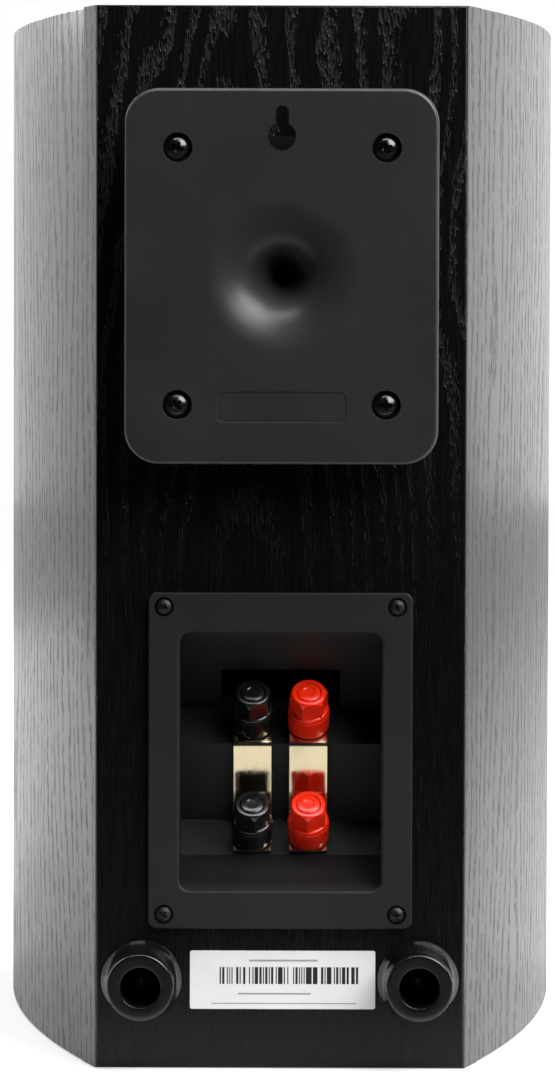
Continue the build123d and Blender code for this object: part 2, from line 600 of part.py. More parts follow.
def make_leads():
    """Leads from the post tags to the board, and from the board to the drivers."""
    back = (CUP_WALL + 4.0) * math.sqrt(0.5)
    tag_y = REAR_Y - POST_DEPTH - back
    upper, lower = UPPER_POST_Z - back, LOWER_POST_Z - back
    rear_row, front_row = BOARD_Y + BOARD_ROW_Y, BOARD_Y - BOARD_ROW_Y
    woofer_y, tweeter_y = FRONT_Y - WOOFER_TAG_S, FRONT_Y - TWEETER_TAG_S
    tweeter_z = TWEETER_Z - TWEETER_TAG_DROP
    for pole, side in (("positive", -1), ("negative", 1)):
        tag_x = side * (POST_X + 9.0)
        inner, outer = side * BOARD_INNER_X, side * BOARD_OUTER_X
        woofer_x, tweeter_x = side * WOOFER_TAG_X, side * TWEETER_TAG_X
        routes = [
            [
                (tag_x, tag_y, upper), (tag_x, tag_y - 17, upper - 17),
                (inner, rear_row + 4, BOARD_TOP + 46), (inner, rear_row, BOARD_TOP + 24),
                (inner, rear_row, BOARD_TOP),
            ],
            [
                (tag_x, tag_y, lower), (tag_x, tag_y - 9, lower - 9),
                (outer, rear_row + 10, BOARD_TOP + 28), (outer, rear_row, BOARD_TOP + 16),
                (outer, rear_row, BOARD_TOP),
            ],
            [
                (inner, front_row, BOARD_TOP), (inner, front_row, BOARD_TOP + 18),
                (side * 34, front_row - 28, BOARD_TOP + 34), (side * 58, woofer_y + 44, 88),
                (woofer_x, woofer_y + 26, WOOFER_Z), (woofer_x, woofer_y, WOOFER_Z),
            ],
            [
                (outer, front_row, BOARD_TOP), (outer, front_row, 205),
                (side * 26, front_row - 38, 250), (tweeter_x, tweeter_y + 46, tweeter_z),
                (tweeter_x, tweeter_y, tweeter_z),
            ],
        ]
        parts[f"{pole}_leads"] = together([lead(*route) for route in routes])


# ---- drivers ------------------------------------------------------------------------------


def make_woofer():
    """16 cm cone driver. Heights are in front of the baffle's face, so most are negative."""
    place = at(0, FRONT_Y, WOOFER_Z, FRONT)
    seat = -WOOFER_REBATE
    floor_s, plate_s, magnet_s, back_s, end_s = -38.0, -42.0, -48.0, -70.0, -76.0
    shell = lathe_points(
        (66, seat + 4), (WOOFER_R - 0.8, seat + 4), (WOOFER_R, seat + 3.2), (WOOFER_R, seat),
        (73, seat), (72.5, seat - 6), (53, floor_s - 4), (20, floor_s - 4), (20, floor_s),
        (50.5, floor_s), (68, seat - 5.5), (66, seat),
    )
    for spot in around(6, 64):
        window = Pos(0, 0, -26) * Box(44, 36, 22)
        shell -= spot * fillet(window.edges().filter_by(Axis.X), 7)
    shelf = ring(44, 52.5, -35, -33.4) + ring(50.8, 54, -39, -33.4)
    shell += shelf
    parts["woofer_basket"] = shell

    parts["woofer_gasket"] = ring(SURROUND_OUT_R, 79.5, seat + 4.8, seat + 6.6)
    parts["woofer_surround"] = make_surround(seat + 4.0)
    parts["woofer_spider"] = make_spider()
    parts["woofer_top_plate"] = ring(17.9, 45, magnet_s, plate_s)
    parts["woofer_magnet"] = ring(22, 50, back_s, magnet_s)
    yoke = ring(0, 45, end_s, back_s) + ring(0, 15.4, back_s, plate_s - 0.5)
    parts["woofer_yoke"] = yoke - ring(0, 5, end_s, plate_s)

    parts["woofer_cone"] = make_cone()
    parts["woofer_dust_cap"] = dome_shell(20.5, -21.4, -14.4, 0.8) - parts["woofer_cone"]
    parts["woofer_voice_coil"] = ring(16.0, 16.4, -60, -22.6) + ring(16.4, 17.2, -59, -47)
    names = [n for n in parts if n.startswith("woofer_")]
    for name in names:
        parts[name] = place * parts[name]
    opening = ring(0, WOOFER_HOLE_R, -60, 10) + ring(0, WOOFER_R, seat, 10)
    parts["front_baffle"] -= place * opening
    screw = Pos(0, 0, seat + 4) * pan_screw(*DRIVER_SCREW)
    return [place * spot * screw for spot in around(WOOFER_SCREWS, WOOFER_SCREW_R, 22.5)]


def make_surround(lip_s):
    """Half-roll rubber surround with a flat lip outside and a glued lip inside."""
    middle = (SURROUND_OUT_R + SURROUND_IN_R) / 2
    outer_roll = (SURROUND_OUT_R - SURROUND_IN_R) / 2
    inner_roll = outer_roll - SURROUND_THICK
    top = lip_s + SURROUND_THICK
    return lathe(
        Line((79, lip_s), (79, top)),
        Line((79, top), (SURROUND_OUT_R, top)),
        ThreePointArc((SURROUND_OUT_R, top), (middle, top + outer_roll), (SURROUND_IN_R, top)),
        Line((SURROUND_IN_R, top), (53.5, top)),
        Line((53.5, top), (53.5, lip_s)),
        Line((53.5, lip_s), (SURROUND_IN_R + SURROUND_THICK, lip_s)),
        ThreePointArc(
            (SURROUND_IN_R + SURROUND_THICK, lip_s), (middle, lip_s + inner_roll),
            (SURROUND_OUT_R - SURROUND_THICK, lip_s),
        ),
        Line((SURROUND_OUT_R - SURROUND_THICK, lip_s), (79, lip_s)),
    )


def make_cone():
    """Curved cone under the surround's inner lip, down to the voice-coil former."""
    return lathe(
        Line((CONE_RIM_R, CONE_RIM_S), (53.0, CONE_RIM_S)),
        Spline(
            (53.0, CONE_RIM_S), (38.0, -9.0), (24.0, -18.5), (CONE_NECK_R, CONE_NECK_S + 1),
            tangents=[(-1, -0.35), (-1, -0.85)],
        ),
        Line((CONE_NECK_R, CONE_NECK_S + 1), (CONE_NECK_R, CONE_NECK_S)),
        Spline(
            (CONE_NECK_R, CONE_NECK_S), (24.6, -19.4), (38.5, -9.95), (53.2, CONE_RIM_S - 1.0),
            tangents=[(1, 0.85), (1, 0.35)],
        ),
        Line((53.2, CONE_RIM_S - 1.0), (CONE_RIM_R, CONE_RIM_S - 1.0)),
        Line((CONE_RIM_R, CONE_RIM_S - 1.0), (CONE_RIM_R, CONE_RIM_S)),
    )


def make_spider():
    """Corrugated suspension disc between the former and the basket's shelf."""
    inner_r, outer_r, waves, height, mid_s, thick = 16.5, 44.0, 5, 1.1, -32.6, 0.5
    steps = 4 * waves
    pitch = (outer_r - inner_r) / steps

    def curve(lift):
        points = [
            (inner_r + i * pitch, mid_s + lift + height * math.sin(i * math.pi / 2))
            for i in range(steps + 1)
        ]
        return Spline(*points)

    top, bottom = curve(thick), curve(0)
    face = make_face(
        Curve()
        + [
            bottom, Line(bottom @ 1, (51.5, mid_s)), Line((51.5, mid_s), (51.5, mid_s + thick)),
            Line((51.5, mid_s + thick), top @ 1), top, Line(top @ 0, bottom @ 0),
        ]
    )
    return Pos(0, 0, -0.8) * revolve(Plane.XZ * face, Axis.Z)


def make_tweeter():
    """25 mm dome driver in a shallow waveguide plate."""
    place = at(0, FRONT_Y, TWEETER_Z, FRONT)
    seat = -TWEETER_REBATE
    lip_s = seat + 0.6
    face = lathe(
        Line((16.6, lip_s), (16.6, lip_s + 0.7)),
        ThreePointArc((16.6, lip_s + 0.7), (25, -1.1), (35, 0)),
        Line((35, 0), (TWEETER_R - 0.8, 0)),
        Line((TWEETER_R - 0.8, 0), (TWEETER_R, -0.8)),
        Line((TWEETER_R, -0.8), (TWEETER_R, seat)),
        Line((TWEETER_R, seat), (20, seat)),
        Line((20, seat), (20, lip_s)),
        Line((20, lip_s), (16.6, lip_s)),
    )
    parts["tweeter_faceplate"] = face
    base = seat + 0.1
    parts["tweeter_dome"] = dome_shell(12.7, base, base + 5.2, 0.35)
    parts["tweeter_voice_coil"] = ring(12.55, 12.75, base - 5.6, base) + ring(
        12.75, 13.1, base - 5.2, base - 2.6
    )
    parts["tweeter_surround"] = lathe(
        Line((12.8, base), (13.3, base)),
        ThreePointArc((13.3, base), (14.5, base + 1.0), (15.7, base)),
        Line((15.7, base), (19.8, base)),
        Line((19.8, base), (19.8, base + 0.4)),
        Line((19.8, base + 0.4), (16.1, base + 0.4)),
        ThreePointArc((16.1, base + 0.4), (14.5, base + 1.45), (12.8, base + 0.4)),
        Line((12.8, base + 0.4), (12.8, base)),
    )
    plate_s, magnet_s, back_s, end_s = seat, seat - 3.0, seat - 13.0, TWEETER_BACK_S
    magnet = ring(17, 35, back_s, magnet_s)
    parts["tweeter_magnet"] = magnet
    pot = ring(13.45, 31, magnet_s, plate_s)
    cup = ring(0, 31, end_s, back_s) + ring(0, 12.2, back_s, plate_s - 0.4)
    parts["tweeter_yoke"] = together([pot, cup - ring(0, 3, end_s, plate_s)])
    for name in [n for n in parts if n.startswith("tweeter_")]:
        parts[name] = place * parts[name]
    opening = ring(0, TWEETER_HOLE_R, -60, 10) + ring(0, TWEETER_R, seat, 10)
    parts["front_baffle"] -= place * opening
    screw = Pos(0, 0, -0.9) * pan_screw(*DRIVER_SCREW)
    places = around(TWEETER_SCREWS, TWEETER_SCREW_R, 45)
    for spot in places:
        parts["tweeter_faceplate"] -= place * spot * ring(0, 4.0, -0.9, 5)
    return [place * spot * screw for spot in places]


def make_driver_screws(screws):
    for screw in screws:
        for name in ("front_baffle", "woofer_basket", "tweeter_faceplate"):
            parts[name] -= screw
    parts["driver_screws"] = together(screws)


def make_driver_terminals():
    """Tag strips on the back of each driver, where the leads end."""
    thick = 1.6
    woofer = at(0, FRONT_Y, WOOFER_Z, FRONT) * Pos(0, 0, WOOFER_TAG_S)
    strips = [
        woofer * Pos(side * (WOOFER_TAG_X - 1.5), 0, 0) * Box(13, 16, thick, align=BASE)
        - parts["woofer_basket"]
        for side in (-1, 1)
    ]
    tweeter = at(0, FRONT_Y, TWEETER_Z - TWEETER_TAG_DROP, FRONT) * Pos(0, 0, TWEETER_TAG_S)
    foot = ring(0, 5, 0, TWEETER_BACK_S - TWEETER_TAG_S)
    strips.append(tweeter * (Box(42, 10, thick, align=BASE) + foot))
    parts["driver_terminals"] = together(strips)


# ---- grille -------------------------------------------------------------------------------


def make_grille():
    """Cloth-covered frame on four pegs that push into rubber sockets."""
    height = HEIGHT - 2 * GRILLE_MARGIN_Z
    place = at(0, FRONT_Y, HEIGHT / 2, FRONT)
    outline = RectangleRounded(2 * GRILLE_HALF_WIDTH, height, GRILLE_CORNER)
    opening_width = 2 * (GRILLE_HALF_WIDTH - GRILLE_BAR)
    half_bar = GRILLE_CROSSBAR / 2
    inner_low, inner_high = GRILLE_MARGIN_Z + GRILLE_BAR, HEIGHT - GRILLE_MARGIN_Z - GRILLE_BAR
    windows = (
        (inner_low, GRILLE_CROSSBAR_Z - half_bar), (GRILLE_CROSSBAR_Z + half_bar, inner_high),
    )
    frame = outline
    for low, high in windows:
        window = RectangleRounded(opening_width, high - low, GRILLE_WINDOW_CORNER)
        frame -= Pos(0, (low + high - HEIGHT) / 2) * window
    top = GRILLE_DEPTH - CLOTH_THICK
    body = Pos(0, 0, GRILLE_GAP) * extrude(frame, top - GRILLE_GAP)
    outer = body.faces().sort_by(Axis.Z)[-1].outer_wire().edges()
    body = fillet(outer, GRILLE_EDGE_ROUND)
    sockets = []
    for x in (-PEG_X, PEG_X):
        for z in (PEG_LOW_Z, HEIGHT - PEG_LOW_Z):
            spot = Pos(x, z - HEIGHT / 2, 0)
            peg = ring(0, PEG_R, -PEG_LENGTH, GRILLE_GAP)
            peg = chamfer(peg.faces().sort_by(Axis.Z)[0].edges(), 1.0)
            body += spot * peg
            depth = PEG_LENGTH + 3
            socket = ring(PEG_R + RUNNING, 6.5, -depth, 0) + ring(0, 6.5, -depth, -depth + 1.5)
            sockets.append(place * spot * socket)
            parts["front_baffle"] -= place * spot * ring(0, 6.5, -depth, 5)
    parts["grille_frame"] = place * body
    parts["grille_sockets"] = together(sockets)
    parts["grille_cloth"] = place * Pos(0, 0, top) * extrude(
        RectangleRounded(
            2 * (GRILLE_HALF_WIDTH - CLOTH_INSET), height - 2 * CLOTH_INSET,
            GRILLE_CORNER - CLOTH_INSET,
        ),
        CLOTH_THICK,
    )


# ---- assembly -----------------------------------------------------------------------------


def main():
    make_cabinet()
    make_brace()
    make_lining()
    make_port_plate()
    make_port_tube()
    for screw in parts["port_plate_screws"].solids():
        parts["rear_panel"] -= screw
    make_terminal_cup()
    make_binding_posts()
    make_jumper_straps()
    spacer_screws = make_bumpers()
    make_label()
    spacer_screws += make_crossover()
    parts["spacer_screws"] = together(spacer_screws)
    make_leads()
    make_driver_screws(make_woofer() + make_tweeter())
    make_driver_terminals()
    make_grille()

    os.makedirs("parts", exist_ok=True)
    for name, shape in parts.items():
        export_step(shape, f"parts/{name}.step")


main()
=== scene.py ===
"""Looks of a two-way bookshelf loudspeaker, seen from behind. Profiles are in millimetres."""

import math
from math import cos, pi, sin

import bmesh
import bpy
from mathutils import Matrix, Vector
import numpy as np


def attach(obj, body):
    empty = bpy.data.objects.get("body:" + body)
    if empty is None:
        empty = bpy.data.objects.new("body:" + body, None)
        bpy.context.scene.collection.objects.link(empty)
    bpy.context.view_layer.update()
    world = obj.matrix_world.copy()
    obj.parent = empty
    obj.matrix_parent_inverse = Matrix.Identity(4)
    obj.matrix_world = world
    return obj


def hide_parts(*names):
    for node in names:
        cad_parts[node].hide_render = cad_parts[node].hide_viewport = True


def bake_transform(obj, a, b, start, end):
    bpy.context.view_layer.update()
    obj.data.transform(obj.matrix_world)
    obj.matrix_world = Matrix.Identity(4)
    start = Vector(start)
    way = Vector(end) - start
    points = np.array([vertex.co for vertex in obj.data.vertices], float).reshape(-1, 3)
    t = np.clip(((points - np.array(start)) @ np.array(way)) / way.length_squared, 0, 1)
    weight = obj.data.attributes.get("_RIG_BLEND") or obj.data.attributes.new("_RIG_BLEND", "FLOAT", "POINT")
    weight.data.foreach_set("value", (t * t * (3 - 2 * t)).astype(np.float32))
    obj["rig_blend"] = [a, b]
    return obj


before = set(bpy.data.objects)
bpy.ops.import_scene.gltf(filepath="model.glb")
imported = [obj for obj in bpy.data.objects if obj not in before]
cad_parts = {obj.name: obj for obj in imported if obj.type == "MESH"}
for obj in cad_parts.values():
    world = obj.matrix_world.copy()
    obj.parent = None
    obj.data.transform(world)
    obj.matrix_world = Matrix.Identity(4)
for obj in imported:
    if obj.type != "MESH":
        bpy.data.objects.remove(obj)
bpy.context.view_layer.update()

# ---- dimensions, as in the CAD model -----

HEIGHT, WIDTH, REAR_WIDTH, WIDEST_FROM_REAR = 380.0, 215.6, 132.0, 280.0
FRONT_Y, REAR_Y = -163.0, 153.0
BAFFLE, PANEL, SIDE_WALL = 22.0, 18.0, 15.0
INNER_FRONT_Y, INNER_REAR_Y = FRONT_Y + BAFFLE, REAR_Y - PANEL
WIDEST_Y = REAR_Y - WIDEST_FROM_REAR
STANDOFF = 24.0
PORT_Z, WOOFER_Z, TWEETER_Z, CUP_Z = 283.5, 115.0, 283.0, 110.6
POST_X, POST_DEPTH = 10.1, 23.45
POST_Z = {"upper": 120.35, "lower": 80.05}
UP, FRONT, REAR = (0, 0, 1), (0, -1, 0), (0, 1, 0)
POST_AXIS = (0, math.sqrt(0.5), math.sqrt(0.5))
POST_R = 3.56
PLATE_WIDTH, PLATE_HEIGHT, PLATE_CORNER, PLATE_THICK = 110.7, 132.4, 12.3, 3.2
PILLAR_X, PILLAR_Y, PILLAR_R = 36.85, 45.3, 7.0
HOLLOW_R, HOLLOW_DEPTH, HOLLOW_BACK_R, HOLLOW_BACK = 28.5, 31.0, 26.0, 33.5
KEY_HOLE_Z, KEY_HOLE_R, KEY_SLOT_Z, KEY_SLOT_R = 332.8, 4.95, 341.2, 2.4
PORT_BORE_R, PORT_FLANGE_R = 45.5, 50.0
CUP_HOLE_WIDTH, CUP_HOLE_HEIGHT, CUP_HOLE_CORNER, CUP_HOLE_Z = 78.0, 98.3, 6.7, 110.35
CUP_SCREW_X, CUP_SCREW_Y = 41.65, 55.1
BUMPER_X, BUMPER_Z, BUMPER_LENGTH, BUMPER_FLOOR = 49.5, 31.7, 24.0, 5.0
WOOFER_R, WOOFER_SCREW_R, TWEETER_R, TWEETER_SCREW_R = 90.0, 84.5, 52.0, 45.5
GRILLE_WIDTH, GRILLE_HEIGHT, GRILLE_CORNER = 207.2, 374.0, 9.0
PEGS = [(x, z) for x in (-92, 92) for z in (22, 358)]

MM = 0.001
SIGNS = [(sx, sy) for sx in (-1, 1) for sy in (-1, 1)]
HERE = Matrix.Identity(4)
shift = Matrix.Translation
SCENE = bpy.context.scene


# ---- mesh helpers ------------------------


def at(x, y, z, axis=UP):
    """Matrix from a piece's own millimetres to the row's frame, with its +Z along axis."""
    up = Vector(axis).normalized()
    side = Vector((1, 0, 0))
    turn = Matrix((side, up.cross(side), up)).transposed().to_4x4()
    return shift((x, y, z)) @ turn


def new_object(name, bm):
    """A mesh object from a bmesh, still in millimetres."""
    bmesh.ops.recalc_face_normals(bm, faces=bm.faces)
    mesh = bpy.data.meshes.new(name)
    bm.to_mesh(mesh)
    bm.free()
    obj = bpy.data.objects.new(name, mesh)
    SCENE.collection.objects.link(obj)
    return obj


def apply_modifiers(obj):
    """Replaces the mesh by its evaluated one and drops the modifiers."""
    graph = bpy.context.evaluated_depsgraph_get()
    mesh = bpy.data.meshes.new_from_object(obj.evaluated_get(graph), depsgraph=graph)
    obj.modifiers.clear()
    obj.data = mesh


def boolean(obj, other, operation="DIFFERENCE", where=None):
    """Cuts a second object, moved to where, out of the first, or unites or intersects the two."""
    if where:
        other.data.transform(where)
    modifier = obj.modifiers.new("cut", "BOOLEAN")
    modifier.operation, modifier.solver, modifier.object = operation, "EXACT", other
    apply_modifiers(obj)
    bpy.data.objects.remove(other)
    return obj


def ready(obj, where, body, material, nodes=(), angle=32.0, weighted=False):
    """Shades a finished piece, moves it into the row's frame and ties it to its body."""
    obj.data.shade_smooth()
    obj.data.set_sharp_from_angle(angle=math.radians(angle))
    if weighted:
        modifier = obj.modifiers.new("normals", "WEIGHTED_NORMAL")
        modifier.keep_sharp = True
        apply_modifiers(obj)
    obj.data.transform(Matrix.Scale(MM, 4) @ where)
    obj.data.materials.clear()
    obj.data.materials.append(material)
    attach(obj, body)
    if nodes:
        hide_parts(*nodes)
    return obj


def paint(obj, materials, faces):
    """Gives some faces, listed as (index, slot), further materials."""
    for material in materials:
        obj.data.materials.append(material)
    for index, slot in faces:
        obj.data.polygons[index].material_index = slot


def full_turn(count):
    """Angles of one full turn."""
    return [2 * pi * i / count for i in range(count)]


def bridge(bm, rings):
    """Faces between closed rings of vertices, from each to the next."""
    for low, high in zip(rings, rings[1:]):
        for i in range(len(low)):
            j = (i + 1) % len(low)
            bm.faces.new((low[i], low[j], high[j], high[i]))


def lathe(name, profile, segments=96):
    """Revolves (radius, height) points about Z. A closed profile repeats its first point."""
    bm = bmesh.new()
    rings = []
    for radius, height in profile:
        if radius < 1e-6:
            rings.append([bm.verts.new((0, 0, height))])
            continue
        rings.append([bm.verts.new((radius * cos(t), radius * sin(t), height))
                      for t in full_turn(segments)])
    for low, high in zip(rings, rings[1:]):
        for i in range(segments):
            j = (i + 1) % segments
            ends = ((low, i), (low, j), (high, j), (high, i))
            face = list(dict.fromkeys(ring[k % len(ring)] for ring, k in ends))
            if len(face) > 2:
                bm.faces.new(face)
    bmesh.ops.remove_doubles(bm, verts=bm.verts, dist=1e-4)
    return new_object(name, bm)


def arc(start, through, end, count=10):
    """Points of the circle arc through three points."""
    (ax, ay), (bx, by), (cx, cy) = start, through, end
    d = 2 * (ax * (by - cy) + bx * (cy - ay) + cx * (ay - by))
    a2, b2, c2 = ax * ax + ay * ay, bx * bx + by * by, cx * cx + cy * cy
    ox = (a2 * (by - cy) + b2 * (cy - ay) + c2 * (ay - by)) / d
    oy = (a2 * (cx - bx) + b2 * (ax - cx) + c2 * (bx - ax)) / d
    radius = math.hypot(ax - ox, ay - oy)
    first, middle, last = (math.atan2(y - oy, x - ox) for x, y in (start, through, end))
    turn = (last - first) % (2 * pi)
    if (middle - first) % (2 * pi) > turn:
        turn -= 2 * pi
    steps = [first + turn * i / count for i in range(count + 1)]
    return [(ox + radius * cos(t), oy + radius * sin(t)) for t in steps]


def flow(points, count=8):
    """Smooth curve through points."""
    ends = [points[0]] + list(points) + [points[-1]]
    out = []
    for before, a, b, after in zip(ends, ends[1:], ends[2:], ends[3:]):
        for i in range(count):
            t = i / count
            out.append(tuple(
                0.5 * (2 * q + (s - p) * t + (2 * p - 5 * q + 4 * s - r) * t * t
                       + (3 * q - p - 3 * s + r) * t**3)
                for p, q, s, r in zip(before, a, b, after)
            ))
    return out + [tuple(points[-1])]


def dome(radius, base, top, count=12):
    """Profile of a spherical cap from its rim to its top on the axis."""
    rise = top - base
    sphere = (radius**2 + rise**2) / (2 * rise)
    spread = math.asin(radius / sphere)
    turns = [spread * (1 - i / count) for i in range(count + 1)]
    return [(sphere * sin(t), top - sphere * (1 - cos(t))) for t in turns]


def rounded(width, height, radius, count=12):
    """Outline of a rounded rectangle."""
    points = []
    for k, (sx, sy) in enumerate(((1, 1), (-1, 1), (-1, -1), (1, -1))):
        cx, cy = sx * (width / 2 - radius), sy * (height / 2 - radius)
        for i in range(count + 1):
            t = pi / 2 * (k + i / count)
            points.append((cx + radius * cos(t), cy + radius * sin(t)))
    return points


def circle(x, y, radius, count=64):
    return [(x + radius * cos(t), y + radius * sin(t)) for t in full_turn(count)]


def inset(outline, distance):
    """A counter-clockwise outline moved inwards."""
    moved = []
    behind, beyond = outline[-1:] + outline[:-1], outline[1:] + outline[:1]
    for before, here, after in zip(behind, outline, beyond):
        a = (Vector(here) - Vector(before)).normalized()
        b = (Vector(after) - Vector(here)).normalized()
        inward = Vector((-a.y - b.y, a.x + b.x)).normalized()
        moved.append(Vector(here) + inward * distance / max(0.3, inward.dot(Vector((-a.y, a.x)))))
    return moved


def prism(name, outline, low, high, top_bevel=0.0, bottom_bevel=0.0, segments=4):
    """Extrudes an outline along Z, with rounded top and bottom edges."""
    turns = [pi / 2 * k / segments for k in range(segments + 1)]
    levels = [(bottom_bevel * (1 - sin(t)), low + bottom_bevel * (1 - cos(t)))
              for t in (turns if bottom_bevel else turns[-1:])]
    levels += [(top_bevel * (1 - cos(t)), high - top_bevel * (1 - sin(t)))
               for t in (turns if top_bevel else turns[-1:])]
    bm = bmesh.new()
    rings = [[bm.verts.new((x, y, level))
              for x, y in (inset(outline, size) if size else outline)] for size, level in levels]
    bm.faces.new(rings[0][::-1])
    bm.faces.new(rings[-1])
    bridge(bm, rings)
    return new_object(name, bm)


def joined(name, pieces):
    """One object from several, each given as (object, matrix)."""
    bm = bmesh.new()
    for obj, matrix in pieces:
        copy = obj.data.copy()
        copy.transform(matrix)
        bm.from_mesh(copy)
        bpy.data.meshes.remove(copy)
    for obj in {p for p, _ in pieces}:
        bpy.data.objects.remove(obj)
    return new_object(name, bm)


# ---- material helpers --------------------


class Graph:
    """A node tree, extended by short calls that each return an output socket."""

    def __init__(self, tree):
        self.tree = tree

    def add(self, kind, **settings):
        node = self.tree.nodes.new("ShaderNode" + kind)
        for key, value in settings.items():
            setattr(node, key, value)
        return node

    def put(self, socket, value):
        if isinstance(value, bpy.types.NodeSocket):
            self.tree.links.new(value, socket)
        else:
            socket.default_value = value

    def math(self, operation, a, b=0.0):
        node = self.add("Math", operation=operation)
        for socket, value in zip(node.inputs, (a, b)):
            self.put(socket, value)
        return node.outputs[0]

    def times(self, a, b):
        return self.math("MULTIPLY", a, b)

    def plus(self, a, b):
        return self.math("ADD", a, b)

    def minus(self, a, b):
        return self.math("SUBTRACT", a, b)

    def ramp(self, value, low, high, out_low=0.0, out_high=1.0, shape="SMOOTHSTEP"):
        """Step of value between low and high, smooth or LINEAR."""
        node = self.add("MapRange", interpolation_type=shape)
        for socket, number in zip(node.inputs, (value, low, high, out_low, out_high)):
            self.put(socket, number)
        return node.outputs[0]

    def mix(self, factor, a, b):
        node = self.add("Mix", data_type="RGBA")
        self.put(node.inputs["Factor"], factor)
        for key, value in (("A", a), ("B", b)):
            is_socket = isinstance(value, bpy.types.NodeSocket)
            self.put(node.inputs[key], value if is_socket else (*value, 1))
        return node.outputs["Result"]

    def split(self, vector):
        node = self.add("SeparateXYZ")
        self.put(node.inputs[0], vector)
        return node.outputs

    def join(self, x, y, z):
        node = self.add("CombineXYZ")
        for socket, value in zip(node.inputs, (x, y, z)):
            self.put(socket, value)
        return node.outputs[0]


class Look(Graph):
    """A node material. Fixed settings are sockets of its shader, with _ for a space."""

    def __init__(self, name, **fixed):
        self.material = bpy.data.materials.new(name)
        self.material.use_nodes = True
        super().__init__(self.material.node_tree)
        self.shader = self.tree.nodes["Principled BSDF"]
        for socket, value in fixed.items():
            self.shader.inputs[socket.replace("_", " ")].default_value = value
        self.place = self.add("TexCoord").outputs["Object"]

    def to(self, socket, value):
        self.put(self.shader.inputs[socket], value)

    def scaled(self, x, y, z):
        """The place on the object, stretched along each axis."""
        node = self.add("Mapping")
        node.inputs["Scale"].default_value = (x, y, z)
        self.put(node.inputs["Vector"], self.place)
        return node.outputs[0]

    def noise(self, scale, detail=3.0, rough=0.5, where=None):
        node = self.add("TexNoise")
        self.put(node.inputs["Vector"], where or self.place)
        for key, value in (("Scale", scale), ("Detail", detail), ("Roughness", rough)):
            node.inputs[key].default_value = value
        return node.outputs["Fac"]

    def bump(self, height, depth_mm, strength=1.0):
        node = self.add("Bump")
        node.inputs["Strength"].default_value = strength
        node.inputs["Distance"].default_value = depth_mm * MM
        self.put(node.inputs["Height"], height)
        self.to("Normal", node.outputs[0])


def plastic(name, colour, rough, grain_mm=0.35, grain_depth=0.02, spread=0.25, mottle=0.06,
            **fixed):
    """Moulded plastic or paint: fine grain, faint cloudy tone and uneven polish."""
    look = Look(name, **fixed)
    cloud = look.noise(22.0, 4.0, 0.6)
    fleck = look.noise(1000.0 / (grain_mm * 2.2), 2.0, 0.6)
    low = tuple(c * (1 - spread) for c in colour)
    high = tuple(min(1.0, c * (1 + spread)) for c in colour)
    tone = look.plus(look.times(cloud, 0.7), look.times(fleck, 0.3))
    look.to("Base Color", look.mix(look.ramp(tone, 0.35, 0.65), low, high))
    look.to("Roughness", look.ramp(cloud, 0.35, 0.65, rough - mottle, rough + mottle))
    look.bump(look.noise(1000.0 / grain_mm, 2.0, 0.7), grain_depth, 0.6)
    return look.material


def metal(name, colour, rough, stretch=(1, 1, 1), **fixed):
    """Metal with fine lines along the least stretched axis and faint tarnish."""
    look = Look(name, Metallic=1.0, **fixed)
    lines = look.noise(900.0, 3.0, 0.6, look.scaled(*stretch))
    tarnish = look.noise(60.0, 4.0, 0.6)
    dull = tuple(c * 0.82 for c in colour)
    look.to("Base Color", look.mix(look.ramp(tarnish, 0.4, 0.75), colour, dull))
    look.to("Roughness", look.ramp(lines, 0.3, 0.7, rough * 0.7, rough * 1.4))
    look.bump(lines, 0.004, 0.5)
    return look.material


def cloth(name, colour, thread_mm, rough=0.85, depth=0.12, **fixed):
    """Plain weave of uneven threads of a given width, along X and Z."""
    look = Look(name, **fixed)
    u, _, v = look.split(look.place)
    beat = 1000.0 * pi / thread_mm
    warp = look.math("SINE", look.times(u, beat))
    weft = look.math("SINE", look.times(v, beat))
    over = look.times(warp, weft)
    fuzz = look.noise(2500.0 / thread_mm, 2.0, 0.7)
    patch = look.noise(30.0, 3.0, 0.6)
    height = look.plus(over, look.times(fuzz, 0.6))
    tone = look.plus(look.times(over, 0.3), patch)
    dim = tuple(c * 0.5 for c in colour)
    look.to("Base Color", look.mix(look.ramp(tone, 0.1, 0.9), dim, colour))
    look.to("Roughness", look.ramp(fuzz, 0.2, 0.8, rough - 0.08, min(1.0, rough + 0.08)))
    look.bump(height, depth, 0.8)
    return look.material


